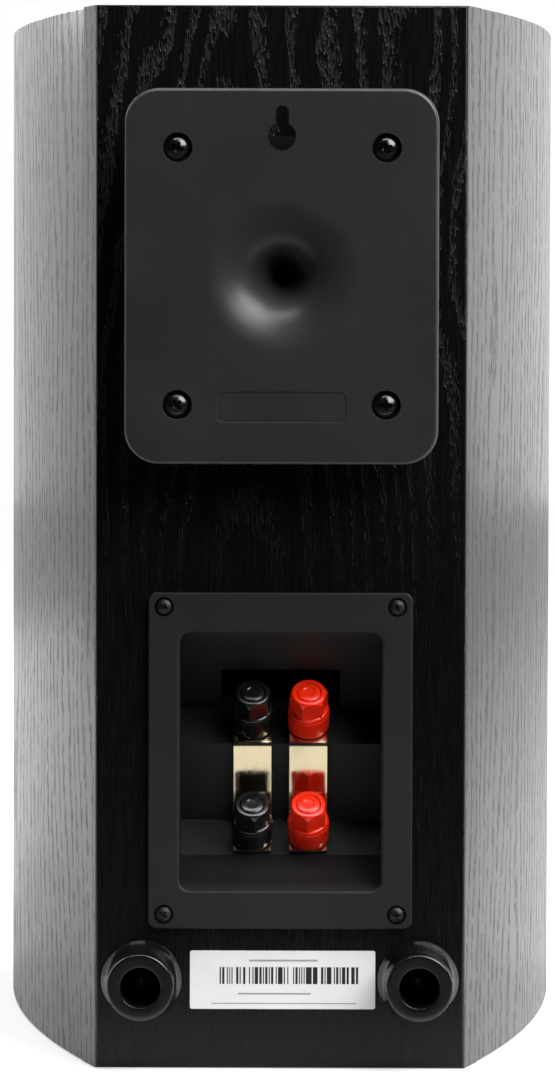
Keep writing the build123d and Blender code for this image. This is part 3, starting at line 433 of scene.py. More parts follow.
def veneer(name, heart, along="Z", gap=0.005, pore=(1150.0, 250.0), relief=0.2, pore_light_fade=None,
           **fixed):
    """Black open-pore ash under satin lacquer.

    Its growth rings are cones about heart, a place across the grain, gap metres apart. pore is
    how many pores a metre holds across and along the grain, and pore_light_fade thins them out along it; as
    the pores are a little lighter than the wood, this is painted light, fading towards the low end as if the
    pores caught less light from above.
    """
    look = Look(name, IOR=1.5, **fixed)
    x, y, z = look.split(look.place)
    if along == "Y":
        y, z = z, y
    across, through = (look.minus(value, centre) for value, centre in zip((x, y), heart))
    squares = [look.math("POWER", look.math("ABSOLUTE", value), 2.0)
               for value in (across, through)]
    radius = look.math("POWER", look.plus(*squares), 0.5)
    slow = look.join(x, y, look.times(z, 0.3))
    wander = look.noise(14.0, 2.0, 0.5, slow)
    ripple = look.noise(60.0, 3.0, 0.6, slow)
    bend = look.plus(look.times(wander, 0.05), look.times(ripple, 0.007))
    field = look.plus(look.plus(radius, bend), look.times(z, 0.055))
    phase = look.math("FRACT", look.math("DIVIDE", field, gap))
    early = look.times(look.ramp(phase, 0.0, 0.12), look.ramp(phase, 0.3, 0.75, 1.0, 0.0))

    def stretched(wide, long):
        return look.join(*(look.times(value, times)
                           for value, times in ((x, wide), (y, wide), (z, long))))

    streak = look.noise(1.0, 1.5, 0.55, stretched(*pore))
    fibre = look.noise(1.0, 2.0, 0.5, stretched(3200.0, 90.0))
    level = look.minus(0.8, look.times(early, 0.33))
    pores = look.ramp(look.minus(streak, level), -0.02, 0.09)
    # Painted light: the fade thins the lighter pores towards the low end, standing for the light from above
    # that they catch.
    if pore_light_fade:
        pores = look.times(pores, look.ramp(z, *pore_light_fade))
    tone = look.mix(look.ramp(fibre, 0.3, 0.7), (0.0024, 0.0024, 0.0025), (0.0036, 0.0035, 0.0035))
    look.to("Base Color", look.mix(pores, tone, (0.007, 0.0067, 0.0063)))
    polish = look.ramp(fibre, 0.3, 0.7, 0.2, 0.3)
    look.to("Roughness", look.plus(polish, look.times(pores, 0.25)))
    look.bump(look.minus(look.times(fibre, 0.03), pores), relief, 1.0)
    return look.material


def cup_look(*settings, **fixed):
    """The cup's plastic, with painted shade that darkens its recess behind the rear panel's face."""
    material = plastic(*settings, **fixed)
    graph = Graph(material.node_tree)
    colour = graph.tree.nodes["Principled BSDF"].inputs["Base Color"]
    depth = graph.split(graph.add("TexCoord").outputs["Object"])[1]
    tone = graph.add("Mix", data_type="RGBA", blend_type="MULTIPLY")
    # Painted shade: deeper than 4 mm inside the rear panel's face the colour is multiplied by 0.3, easing
    # off to none 1.5 mm outside it.
    inside = graph.ramp(depth, (REAR_Y - 4.0) * MM, (REAR_Y + 1.5) * MM, 1.0, 0.0, "LINEAR")
    graph.put(tone.inputs["Factor"], inside)
    graph.put(tone.inputs["A"], colour.links[0].from_socket)
    graph.put(tone.inputs["B"], (0.3, 0.3, 0.3, 1))
    graph.put(colour, tone.outputs["Result"])
    return material


# The rear panel's pore fade is painted light: pores fall to a tenth below 0.14 m and are full from 0.36 m.
ASH_REAR = veneer("black_ash_rear", (0.012, 0.105), relief=0.3, pore_light_fade=(0.14, 0.36, 0.1, 1.0),
                  Specular_IOR_Level=0.3)
ASH_SIDES = {
    side: veneer(f"black_ash_{side}", heart, gap=0.008, pore=(760.0, 150.0), relief=0.4,
                 Coat_Weight=0.3, Coat_Roughness=0.12)
    for side, heart in (("left", (-0.055, -0.075)), ("right", (0.06, -0.05)))
}
ASH_LIDS = veneer("black_ash_lids", (0.03, 0.3), along="Y")
PLATE = plastic("plate_plastic", (0.02, 0.0204, 0.0214), 0.36, 0.5, 0.02, 0.06, 0.02)
# The cup's recess carries painted shade, made in cup_look.
CUP = cup_look("cup_plastic", (0.0145, 0.0149, 0.0157), 0.5, 0.45, 0.02, 0.06, 0.02,
               Specular_IOR_Level=0.25)
# Painted highlight: the plate's rounded rim is a lighter grey than the plate, standing for the bright line
# the lamps draw along it.
PLATE_RIM_HIGHLIGHT = plastic("plate_rim_painted_highlight", (0.05, 0.05, 0.051), 0.3, 0.5, 0.02, 0.12, 0.05)
# The port tube's black plastic, made still darker and duller as painted shade inside the deep tube.
PORT = plastic("port_plastic", (0.003, 0.003, 0.0031), 0.75, 0.5, 0.02, Specular_IOR_Level=0.2)
# Painted shade: the bumpers' bores are near-black and barely glossy, darker than the bumper's plastic, for
# the shade deep inside them.
BORE = plastic("bumper_bore_painted_shade", (0.0012, 0.0012, 0.0012), 0.85, 0.6, 0.02, Specular_IOR_Level=0.1)
BUMPER = plastic("bumper_plastic", (0.005, 0.005, 0.0053), 0.17, 1.2, 0.01, mottle=0.03,
                 Coat_Weight=0.3)
SCREW = plastic("screw_black", (0.003, 0.003, 0.0033), 0.22, 0.5, 0.006, mottle=0.04,
                Coat_Weight=0.6, Coat_Roughness=0.14)
SCREW_DULL = plastic("screw_oxide", (0.003, 0.003, 0.0032), 0.5, 0.5, 0.012, mottle=0.08)
RED = plastic("cap_red", (0.85, 0.02, 0.002), 0.26, 1.1, 0.006, 0.05, 0.03,
              Coat_Weight=0.2, Coat_Roughness=0.08)
BLACK = plastic("cap_black", (0.005, 0.005, 0.0053), 0.22, 1.1, 0.006, 0.2, 0.03,
                Coat_Weight=0.3, Coat_Roughness=0.08)
GILT = metal("gilt", (0.78, 0.67, 0.44), 0.13, (1, 0.12, 0.12))
NICKEL = metal("nickel", (0.66, 0.65, 0.61), 0.3)
STEEL = metal("zinc_steel", (0.5, 0.51, 0.53), 0.38)
COPPER = metal("copper_wire", (0.78, 0.32, 0.13), 0.28, (1, 1, 0.15))
FERRITE = plastic("ferrite", (0.035, 0.035, 0.037), 0.62, 0.8, 0.05)
FOAM = plastic("gasket_foam", (0.014, 0.014, 0.014), 0.9, 0.9, 0.15)
RUBBER = plastic("surround_rubber", (0.012, 0.012, 0.0125), 0.5, 0.6, 0.02)
BASKET = plastic("basket_coat", (0.018, 0.018, 0.019), 0.42, 0.6, 0.05)
FACEPLATE = plastic("faceplate_paint", (0.016, 0.016, 0.017), 0.36, 0.4, 0.015)
BAFFLE_PAINT = plastic("baffle_lacquer", (0.012, 0.012, 0.0125), 0.34, 0.6, 0.015, Coat_Weight=0.3)
FRAME_PLASTIC = plastic("grille_plastic", (0.014, 0.014, 0.014), 0.55, 0.5, 0.03)
BOARD = plastic("circuit_board", (0.05, 0.16, 0.06), 0.4, 0.8, 0.01, Coat_Weight=0.4)
CERAMIC = plastic("resistor_ceramic", (0.7, 0.67, 0.6), 0.8, 0.7, 0.08, 0.08)
WRAP = plastic("capacitor_wrap", (0.55, 0.4, 0.06), 0.25, 1.5, 0.01, 0.08, Coat_Weight=0.5)
RED_WIRE = plastic("red_insulation", (0.5, 0.015, 0.01), 0.4, 1.0, 0.01, 0.1)
BLACK_WIRE = plastic("black_insulation", (0.012, 0.012, 0.012), 0.42, 1.0, 0.01)
CONE = cloth("cone_fibre", (0.045, 0.045, 0.048), 0.9, 0.6, 0.05)
DOME = cloth("dome_silk", (0.02, 0.02, 0.021), 0.22, 0.55, 0.02)
SPIDER = cloth("spider_cloth", (0.42, 0.27, 0.09), 0.7, 0.9, 0.08)
GRILLE = cloth("grille_knit", (0.02, 0.02, 0.021), 0.8, 0.9, 0.2,
               Alpha=0.85, Sheen_Weight=0.15, Sheen_Roughness=0.5)
FELT = cloth("lining_fibre", (0.6, 0.6, 0.57), 1.6, 0.95, 0.4)


def fibreboard():
    look = Look("fibreboard")
    fibre = look.noise(900.0, 3.0, 0.7)
    patch = look.noise(45.0, 4.0, 0.6)
    tone = look.plus(look.times(fibre, 0.6), look.times(patch, 0.4))
    brown, tan = (0.28, 0.17, 0.085), (0.47, 0.32, 0.18)
    look.to("Base Color", look.mix(look.ramp(tone, 0.3, 0.7), brown, tan))
    look.to("Roughness", look.ramp(fibre, 0.3, 0.7, 0.75, 0.95))
    look.bump(fibre, 0.08, 0.7)
    return look.material


FIBREBOARD = fibreboard()


# ---- cabinet -----------------------------


def half_width(y, inward=0.0):
    """Half the cabinet's width at a depth, less a wall's thickness."""
    sagitta = (WIDTH - REAR_WIDTH) / 2
    radius = (WIDEST_FROM_REAR**2 + sagitta**2) / (2 * sagitta)
    return WIDTH / 2 - radius + math.sqrt((radius - inward) ** 2 - (y - WIDEST_Y) ** 2)


def side_line(front_y, rear_y, inward=0.0, side=1, count=40):
    """Points of one curved side in plan, from front to rear."""
    depths = [front_y + (rear_y - front_y) * i / count for i in range(count + 1)]
    return [(side * half_width(y, inward), y) for y in depths]


def plan(front_y, rear_y, inward=0.0, count=40):
    """Outline of the cabinet in plan between two depths."""
    right = side_line(front_y, rear_y, inward, 1, count)
    return right + side_line(front_y, rear_y, inward, -1, count)[::-1]


def soften(obj, size, keep, segments=3, level=False):
    """Rounds the edges whose two ends both pass keep, or only the level ones among them."""
    bm = bmesh.new()
    bm.from_mesh(obj.data)
    sharp = []
    for edge in bm.edges:
        a, b = (vertex.co for vertex in edge.verts)
        slanted = level and abs(a.z - b.z) > 0.1
        if edge.calc_face_angle(0) > 0.5 and keep(a) and keep(b) and not slanted:
            sharp.append(edge)
    bmesh.ops.bevel(bm, geom=sharp, offset=size, segments=segments, profile=0.5, affect="EDGES")
    bm.to_mesh(obj.data)
    bm.free()
    return obj


def make_cabinet():
    for sign, side in ((-1, "left"), (1, "right")):
        outer = side_line(INNER_FRONT_Y, INNER_REAR_Y, 0, sign)
        inner = side_line(INNER_FRONT_Y, INNER_REAR_Y, SIDE_WALL, sign)
        panel = prism(f"{side}_side_veneer", outer + inner[::-1], 0, HEIGHT)
        soften(panel, 0.6, lambda c: abs(c.x) > half_width(c.y, 1.0), level=True)
        lids = [(f.index, 1) for f in panel.data.polygons if abs(f.normal.z) > 0.7]
        ready(panel, HERE, "cabinet", ASH_SIDES[side], [f"{side}_side_panel"])
        paint(panel, [ASH_LIDS], lids)
    lid = plan(INNER_FRONT_Y, INNER_REAR_Y, SIDE_WALL)
    for name, low in (("bottom", 0), ("top", HEIGHT - PANEL)):
        board = prism(f"{name}_board", lid, low, low + PANEL)
        ready(board, HERE, "cabinet", ASH_LIDS, [f"{name}_panel"])

    rear = prism("rear_board", plan(INNER_REAR_Y, REAR_Y, 0, 6), 0, HEIGHT)
    soften(rear, 1.0, lambda c: c.y > REAR_Y - 0.01)
    port = at(0, REAR_Y, PORT_Z, REAR)
    boolean(rear, prism("bore", circle(0, 0, PORT_BORE_R, 96), -60, 30), where=port)
    boolean(rear, prism("rebate", circle(0, 0, PORT_FLANGE_R, 96), -3, 30), where=port)
    window = prism("window", rounded(CUP_HOLE_WIDTH, CUP_HOLE_HEIGHT, CUP_HOLE_CORNER), -60, 30)
    boolean(rear, window, where=at(0, REAR_Y, CUP_HOLE_Z, REAR))
    faces = rear.data.polygons
    ends = [(f.index, 1 if f.normal.x < 0 else 2) for f in faces
            if abs(f.normal.x) > 0.6 and abs(f.center.x) > REAR_WIDTH / 2 - 1.5]
    ends += [(f.index, 3) for f in faces
             if abs(f.normal.z) > 0.7 and abs(f.center.z - HEIGHT / 2) > HEIGHT / 2 - 1]
    ready(rear, HERE, "cabinet", ASH_REAR, ["rear_panel"], weighted=True)
    paint(rear, [ASH_SIDES["left"], ASH_SIDES["right"], ASH_LIDS], ends)


def make_baffle():
    front = prism("baffle_board", plan(FRONT_Y, INNER_FRONT_Y, 0, 8), 0, HEIGHT)
    soften(front, 5.0, lambda c: c.y < FRONT_Y + 0.01, 6)
    holes = [(0, WOOFER_Z, 74, -60, 128), (0, WOOFER_Z, WOOFER_R, -5, 128),
             (0, TWEETER_Z, 38, -60, 128), (0, TWEETER_Z, TWEETER_R, -4, 128)]
    holes += [(x, z, 6.5, -12, 40) for x, z in PEGS]
    for x, z, radius, low, count in holes:
        cutter = prism("cutter", circle(0, 0, radius, count), low, 20)
        boolean(front, cutter, where=at(x, FRONT_Y, z, FRONT))
    ready(front, HERE, "cabinet", BAFFLE_PAINT, ["front_baffle"], weighted=True)


# ---- screws ------------------------------


def cross_cutter(radius, depth, top):
    """Tapered cross of a screwdriver's point."""
    bm = bmesh.new()
    rings = []
    for reach, width, level in ((0.26, 0.07, top - depth), (0.58, 0.14, top + 0.6)):
        arm = [(reach, -width), (reach, width), (width, width)]
        outline = [Matrix.Rotation(pi / 2 * k, 2) @ Vector(point)
                   for k in range(4) for point in arm]
        rings.append([bm.verts.new((x * radius, y * radius, level)) for x, y in outline])
    bm.faces.new(rings[0][::-1])
    bm.faces.new(rings[1])
    bridge(bm, rings)
    return new_object("cross", bm)


def screw_mesh(radius, height, shank, length):
    """Pan-head screw, seat at height 0, with a cross recess."""
    side = 0.16 * height
    head = [(0, -0.2), (radius - 0.15, -0.2), (radius, 0), (radius, side)]
    obj = lathe("head", head + dome(radius, side, height, 14) + [(0, -0.2)], 64)
    boolean(obj, cross_cutter(radius, 0.62 * height, height))
    point = 1.5 * shank
    line = [(0, -0.1), (shank, -0.1), (shank, point - length), (0, -length), (0, -0.1)]
    return joined("screw", [(obj, HERE), (lathe("shank", line, 24), HERE)])


def make_screws(name, node, size, places, material=SCREW):
    """All screws of one node as one piece, each turned a little differently."""
    one = screw_mesh(*size)
    pieces = [(one, place @ Matrix.Rotation(math.radians(23 + 67 * i), 4, "Z"))
              for i, place in enumerate(places)]
    ready(joined(name, pieces), HERE, "cabinet", material, [node], 30)


# ---- port plate and tube -----------------


def keyhole():
    """Outline of the wall screw's hole, with its slot above."""
    hole_y, slot_y = PORT_Z - KEY_HOLE_Z, PORT_Z - KEY_SLOT_Z
    open_half = math.asin(KEY_SLOT_R / KEY_HOLE_R)
    around = [open_half - pi / 2 + 2 * (pi - open_half) * i / 40 for i in range(41)]
    outline = [(KEY_HOLE_R * cos(t), hole_y + KEY_HOLE_R * sin(t)) for t in around]
    over = [pi + pi * i / 20 for i in range(21)]
    return outline + [(KEY_SLOT_R * cos(t), slot_y + KEY_SLOT_R * sin(t)) for t in over]


def is_rim(face):
    """Whether a face belongs to the plate's rounded outer edge."""
    x, y = abs(face.center.x), abs(face.center.y)
    corner_x, corner_y = PLATE_WIDTH / 2 - PLATE_CORNER, PLATE_HEIGHT / 2 - PLATE_CORNER
    beside = x > PLATE_WIDTH / 2 - 1.85 or y > PLATE_HEIGHT / 2 - 1.8
    in_corner = x > 43 and y > 53 and math.hypot(x - corner_x, y - corner_y) > PLATE_CORNER - 1.7
    return face.center.z > -1.5 and 0.04 < abs(face.normal.z) < 0.985 and (beside or in_corner)


def make_port():
    place = at(0, REAR_Y + STANDOFF, PORT_Z, REAR)
    edge = rounded(PLATE_WIDTH, PLATE_HEIGHT, PLATE_CORNER, 20)
    plate = prism("port_cover", edge, -PLATE_THICK, 0, 1.4, 0.3, 6)
    hollow = flow([(HOLLOW_R, 0), (25.2, -0.13), (22.0, -0.65), (19.2, -1.44), (16.5, -2.5),
                   (14.0, -3.95), (11.5, -6.0), (9.1, -8.7), (7.0, -11.9), (4.9, -16.6),
                   (3.0, -22.7), (1.0, -HOLLOW_DEPTH)], 6)
    back = flow([(HOLLOW_BACK_R, -2.7), (21.6, -3.3), (17.6, -4.8), (13.3, -7.8), (9.2, -13.1),
                 (5.4, -23.4), (3.2, -HOLLOW_BACK)], 4)
    bulk = [(0, -1), (HOLLOW_BACK_R, -1)] + back + [(0, -HOLLOW_BACK), (0, -1)]
    boolean(plate, lathe("bulk", bulk, 128), "UNION")
    bowl = [(0, 4), (HOLLOW_R, 4)] + hollow + [(0, -HOLLOW_DEPTH), (0, 4)]
    boolean(plate, lathe("bowl", bowl, 160))
    seat_line = [(0, -2.6), (5.0, -2.6), (5.25, -2.3), (5.25, -0.1), (5.35, 0), (5.35, 5), (0, 5),
                 (0, -2.6)]
    corners = [(sx * PILLAR_X, sy * PILLAR_Y) for sx, sy in SIGNS]
    for x, y in corners:
        pillar = prism("pillar", circle(x, y, PILLAR_R, 48), -STANDOFF, -3.0, 0, 0.4)
        boolean(plate, pillar, "UNION")
        seat = lathe("seat", seat_line, 64)
        boolean(plate, seat, where=shift((x, y, 0)))
    boolean(plate, prism("keyhole", keyhole(), -10, 5))
    blank = prism("blank", rounded(46, 11, 2.5, 8), -0.3, 4, 0, 0.2, 3)
    boolean(plate, blank, where=shift((0, 46, 0)))
    # Painted highlight: the rim's faces take the lighter rim colour.
    rim = [(f.index, 1) for f in plate.data.polygons if is_rim(f)]
    ready(plate, place, "cabinet", PLATE, ["port_plate"], 28, weighted=True)
    paint(plate, [PLATE_RIM_HIGHLIGHT], rim)

    throat = flow([(44, -3), (35.5, -15), (30.6, -27), (29.5, -36)], 5)
    flare = flow([(27, -34), (27.7, -27), (29.6, -19.5), (32.6, -12.5), (36.6, -5.6),
                  (42.0, -0.6)], 6)
    tube = [(50, 0), (50, -3), (44, -3)] + throat
    tube += [(29.5, -114), (33, -122), (30.5, -122), (27.6, -116.5), (27, -112)]
    tube += flare + [(43.2, 0), (50, 0)]
    tunnel = lathe("port_tunnel", tube, 128)
    # The tube's near-black colour carries painted shade.
    ready(tunnel, at(0, REAR_Y, PORT_Z, REAR), "cabinet", PORT, ["port_tube"])
    screws = [place @ shift((x, y, -2.6)) for x, y in corners]
    make_screws("plate_screws", "port_plate_screws", (4.7, 2.9, 2.0, 38.0), screws)


# ---- terminal posts ----------------------


def make_cap_mesh():
    """Hexagonal grip with a chamfered top over a ribbed round skirt."""
    hexagon = [(7.1 * cos(t), 7.1 * sin(t)) for t in full_turn(6)]
    grip = soften(prism("grip", hexagon, 8.6, 17.6), 0.35, lambda c: True, 3)
    cone = [(0, 4), (8.1, 4), (8.1, 14.2), (7.0, 15.7), (6.4, 16.9), (6.05, 17.4), (5.7, 17.6),
            (0, 17.6), (0, 4)]
    boolean(grip, lathe("cone", cone, 96), "INTERSECT")
    skirt = [(0, 0), (7.1, 0), (7.5, 0.6), (7.5, 7.7), (7.25, 8.0), (7.22, 8.3), (7.25, 8.6)]
    skirt += [(7.28, 8.9)] + arc((7.28, 8.9), (7.0, 9.5), (6.3, 9.7), 6) + [(0, 9.7), (0, 0)]
    body = lathe("skirt", skirt, 96)
    boolean(body, grip, "UNION")
    well = [(0, 16.3), (4.4, 16.3), (4.4, 17.35), (4.75, 17.7), (4.75, 19), (0, 19), (0, 16.3)]
    boolean(body, lathe("well", well, 64))
    bore = [(0, -1), (POST_R, -1), (POST_R, 13.3), (2.3, 13.3), (2.3, 18), (0, 18), (0, -1)]
    return boolean(body, lathe("bore", bore, 48))


def make_posts():
    cap = make_cap_mesh()
    line = [(0, 10.1), (1.95, 10.1), (1.95, 16.3), (4.3, 16.3), (4.3, 17.2), (4.1, 17.6)]
    line += [(3.7, 17.75), (2.2, 17.8), (1.9, 17.6), (0, 17.5), (0, 10.1)]
    plug = lathe("plug", line, 64)
    line = [(POST_R, 1.8), (6.4, 1.8), (6.6, 2.0), (6.6, 2.2), (6.4, 2.4), (POST_R, 2.4)]
    washer = lathe("washer", line + [(POST_R, 1.8)], 64)
    for level, z in POST_Z.items():
        for pole, x, colour in (("positive", -POST_X, RED), ("negative", POST_X, BLACK)):
            name = f"{level}_{pole}"
            place = at(x, REAR_Y - POST_DEPTH, z, POST_AXIS)
            angle = {"upper": 12, "lower": 28}[level] + (9 if x > 0 else 0)
            spin = Matrix.Rotation(math.radians(angle), 4, "Z")
            seat = place @ shift((0, 0, 2.4)) @ spin
            for source, where, body, material, node in (
                (cap, seat, "knob", colour, "cap"),
                (plug, seat, "knob", colour, "socket_plug"),
                (washer, place, "washer", GILT, "clamp_washer"),
            ):
                copy = bpy.data.objects.new(f"{name}_{node}_look", source.data.copy())
                SCENE.collection.objects.link(copy)
                ready(copy, where, f"{name}_{body}", material, [f"{name}_{node}"], 30,
                      weighted=node == "cap")
    for source in (cap, plug, washer):
        bpy.data.objects.remove(source)


def bent_strip(name, line, width, thick, radius=1.4, steps=10):
    """Flat strip bent along a line of (depth, height) points, with rounded long edges."""
    path = [Vector(line[0])]
    for before, here, after in zip(line, line[1:], line[2:]):
        a, b, c = Vector(before), Vector(here), Vector(after)
        u, v = (a - b).normalized(), (c - b).normalized()
        half = math.acos(max(-1, min(1, u.dot(v)))) / 2
        reach = radius / math.tan(half)
        centre = b + (u + v).normalized() * radius / sin(half)
        first, last = b + u * reach - centre, b + v * reach - centre
        sweep = first.angle_signed(last)
        path += [centre + Matrix.Rotation(-sweep * i / steps, 2) @ first for i in range(steps + 1)]
    path.append(Vector(line[-1]))
    bm = bmesh.new()
    bevel, x, y = 0.22, width / 2, thick / 2
    section = [(-x + bevel, -y), (x - bevel, -y), (x, -y + bevel), (x, y - bevel),
               (x - bevel, y), (-x + bevel, y), (-x, y - bevel), (-x, -y + bevel)]
    rings = []
    for i, point in enumerate(path):
        ahead = (path[min(i + 1, len(path) - 1)] - path[max(i - 1, 0)]).normalized()
        side = Vector((-ahead.y, ahead.x))
        spots = [(x, point + side * h) for x, h in section]
        rings.append([bm.verts.new((x, REAR_Y - p.x, p.y)) for x, p in spots])
    bridge(bm, rings)
    bm.faces.new(rings[0][::-1])
    bm.faces.new(rings[-1])
    return new_object(name, bm)


def make_straps():
    """Two flat straps, each bent from its upper post's sloping seat down to the lower one's."""
    lift, reach = 1.4 * math.sqrt(0.5), 6.6 * math.sqrt(0.5)
    depth, upper, lower = POST_DEPTH - lift, POST_Z["upper"] + lift, POST_Z["lower"] + lift
    line = [(depth + reach, upper + reach), (18.3 - 2 * lift, 115.2), (30 - 2 * lift, 86.6),
            (depth - reach, lower - reach)]
    for pole, x in (("positive", -POST_X), ("negative", POST_X)):
        strip = bent_strip(f"{pole}_strap", line, 14, 0.8)
        for level in POST_Z.values():
            hole = prism("hole", circle(0, 0, POST_R, 40), -4, 8)
            boolean(strip, hole, where=at(0, REAR_Y - POST_DEPTH, level, POST_AXIS))
        ready(strip, at(x, 0, 0), "cabinet", GILT, [f"{pole}_jumper_strap"], 25)


# ---- bumpers and label -------------------


def make_bumpers():
    """Two hollow bumpers with flared feet. Returns the places of the screws on their floors."""
    outer = [(0, 0), (14.3, 0), (14.5, 0.2), (14.5, 2.0)]
    outer += flow([(14.5, 2.0), (14.2, 2.6), (13.5, 3.7), (12.9, 4.9), (12.4, 6.4), (12.15, 9),
                   (12.05, 14), (11.9, 23.1)], 6)
    outer += arc((11.9, 23.1), (11.64, 23.74), (11.0, BUMPER_LENGTH), 8) + [(7.5, BUMPER_LENGTH)]
    outer += arc((7.5, BUMPER_LENGTH), (7.32, 23.93), (7.25, 23.75), 4)
    outer += [(6.75, BUMPER_FLOOR), (0, BUMPER_FLOOR), (0, 0)]
    one = lathe("bumper", outer, 96)
    places = [at(x, REAR_Y, BUMPER_Z, REAR) for x in (-BUMPER_X, BUMPER_X)]
    pair = joined("bumpers", [(one, place) for place in places])
    # Painted shade: faces inside the bores take the near-black bore colour.
    inner = []
    for face in pair.data.polygons:
        x, y, z = face.center
        off_axis = min(math.hypot(x - middle, z - BUMPER_Z) for middle in (-BUMPER_X, BUMPER_X))
        if y < REAR_Y + BUMPER_LENGTH - 1 and off_axis < 7.3:
            inner.append((face.index, 1))
    ready(pair, HERE, "cabinet", BUMPER, ["wall_bumpers"], 40)
    paint(pair, [BORE], inner)
    return [place @ shift((0, 0, BUMPER_FLOOR)) for place in places]


def label_look():
    """White label with plain bars and thin grey rules, and no lettering."""
    look = Look("rating_label")
    x, _, z = look.split(look.place)
    u = look.times(look.plus(x, 0.001), -1000.0)
    v = look.times(look.minus(z, 0.0318), 1000.0)

    def inside(value, low, high, soft=0.06):
        return look.times(look.ramp(value, low - soft, low + soft),
                         look.ramp(value, high - soft, high + soft, 1.0, 0.0))

    stripe = look.add("TexWhiteNoise", noise_dimensions="1D")
    look.put(stripe.inputs["W"], look.math("FLOOR", look.times(u, 2.4)))
    bars = look.ramp(stripe.outputs["Value"], 0.52, 0.54, 1.0, 0.0)
    code = look.times(bars, look.times(inside(u, -22.6, 27.5), inside(v, -1.5, 4.6)))
    rules = 0.0
    for low, high, left, right in (
            (6.6, 7.3, -12.0, 12.5), (-5.3, -4.7, -16.0, 10.0), (-8.7, -8.3, -25.5, 26.5)):
        rule = look.times(inside(u, left, right), inside(v, low, high))
        rules = look.math("MAXIMUM", rules, rule)
    ink = look.math("MAXIMUM", code, look.times(rules, 0.6))
    grime = look.noise(90.0, 4.0, 0.6)
    paper = look.mix(grime, (0.74, 0.74, 0.73), (0.84, 0.84, 0.84))
    look.to("Base Color", look.mix(ink, paper, (0.012, 0.012, 0.013)))
    look.to("Roughness", look.ramp(grime, 0.3, 0.7, 0.32, 0.42))
    look.bump(look.noise(1500.0, 2.0, 0.6), 0.01, 0.4)
    return look.material


# ---- drivers -----------------------------


def ride_travel(obj, joint_body, inner, outer, centre):
    """Bends a ring between the cabinet, at its outer radius, and a moving diaphragm inside."""
    mesh = obj.data
    obj.parent = None
    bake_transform(obj, "cabinet", joint_body, start=(0, 0, 0), end=(0, 0, 1))
    weights = mesh.attributes["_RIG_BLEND"].data
    for vertex, weight in zip(mesh.vertices, weights):
        radius = math.hypot(vertex.co.x, vertex.co.z - centre * MM) / MM
        t = max(0.0, min(1.0, (outer - radius) / (outer - inner)))
        weight.value = t * t * (3 - 2 * t)


def bending_ring(name, profile, place, material, node, body, inner, outer, centre):
    """A lathed ring that bends between the two radii as its diaphragm moves."""
    obj = lathe(name, profile, 128)
    obj.data.shade_smooth()
    obj.data.set_sharp_from_angle(angle=math.radians(50))
    obj.data.transform(Matrix.Scale(MM, 4) @ place)
    obj.data.materials.append(material)
    ride_travel(obj, body, inner, outer, centre)
    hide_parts(node)
    return obj


def make_woofer():
    place = at(0, FRONT_Y, WOOFER_Z, FRONT)
    lip, top, cone_body = -1.0, -0.2, "woofer_diaphragm"
    roll = [(79, lip), (79, top), (71.6, top)]
    roll += arc((71, top), (64, top + 7.0), (57, top), 28) + [(56.4, top), (53.5, top)]
    roll += [(53.5, lip), (57.6, lip)] + arc((57.8, lip), (64, lip + 6.2), (70.2, lip), 28)
    bending_ring("woofer_roll", roll + [(79, lip)], place, RUBBER, "woofer_surround", cone_body,
                 56.5, 71.5, WOOFER_Z)
    waves, steps, spider_z = 5, 60, -33.4
    line = [(16.5 + 27.5 * i / steps, spider_z + 1.1 * sin(2 * pi * waves * i / steps))
            for i in range(steps + 1)]
    disc = line + [(51.5, spider_z), (51.5, spider_z + 0.5)]
    disc += [(r, h + 0.5) for r, h in line[::-1]] + [line[0]]
    bending_ring("woofer_spider_cloth", disc, place, SPIDER, "woofer_spider", cone_body,
                 17.5, 43.5, WOOFER_Z)
    gasket = [(71, top), (79.5, top), (79.5, 1.0)] + arc((79.5, 1.0), (79.3, 1.4), (78.9, 1.6), 3)
    gasket += [(72.2, 1.6), (71, 0.8), (71, top)]
    ready(lathe("woofer_trim_ring", gasket, 128), place, "cabinet", FOAM, ["woofer_gasket"])
    shell = flow([(53.0, -1.0), (46, -3.9), (38.0, -9.0), (31, -13.7), (24.0, -18.5),
                  (20, -21.3), (16.4, -24)], 6)
    under = flow([(16.4, -25), (20.3, -22.3), (24.6, -19.4), (31.3, -14.7), (38.5, -9.95),
                  (46.3, -5.0), (53.2, -2.0)], 6)
    cone = [(56.5, -1.0)] + shell + under + [(56.5, -2.0), (56.5, -1.0)]
    ready(lathe("woofer_cone_skin", cone, 160), place, cone_body, CONE, ["woofer_cone"])
    cap = dome(20.5, -21.4, -14.4, 16) + dome(19.7, -21.4, -15.2, 16)[::-1] + [(20.5, -21.4)]
    ready(lathe("woofer_cap", cap, 96), place, cone_body, CONE, ["woofer_dust_cap"])


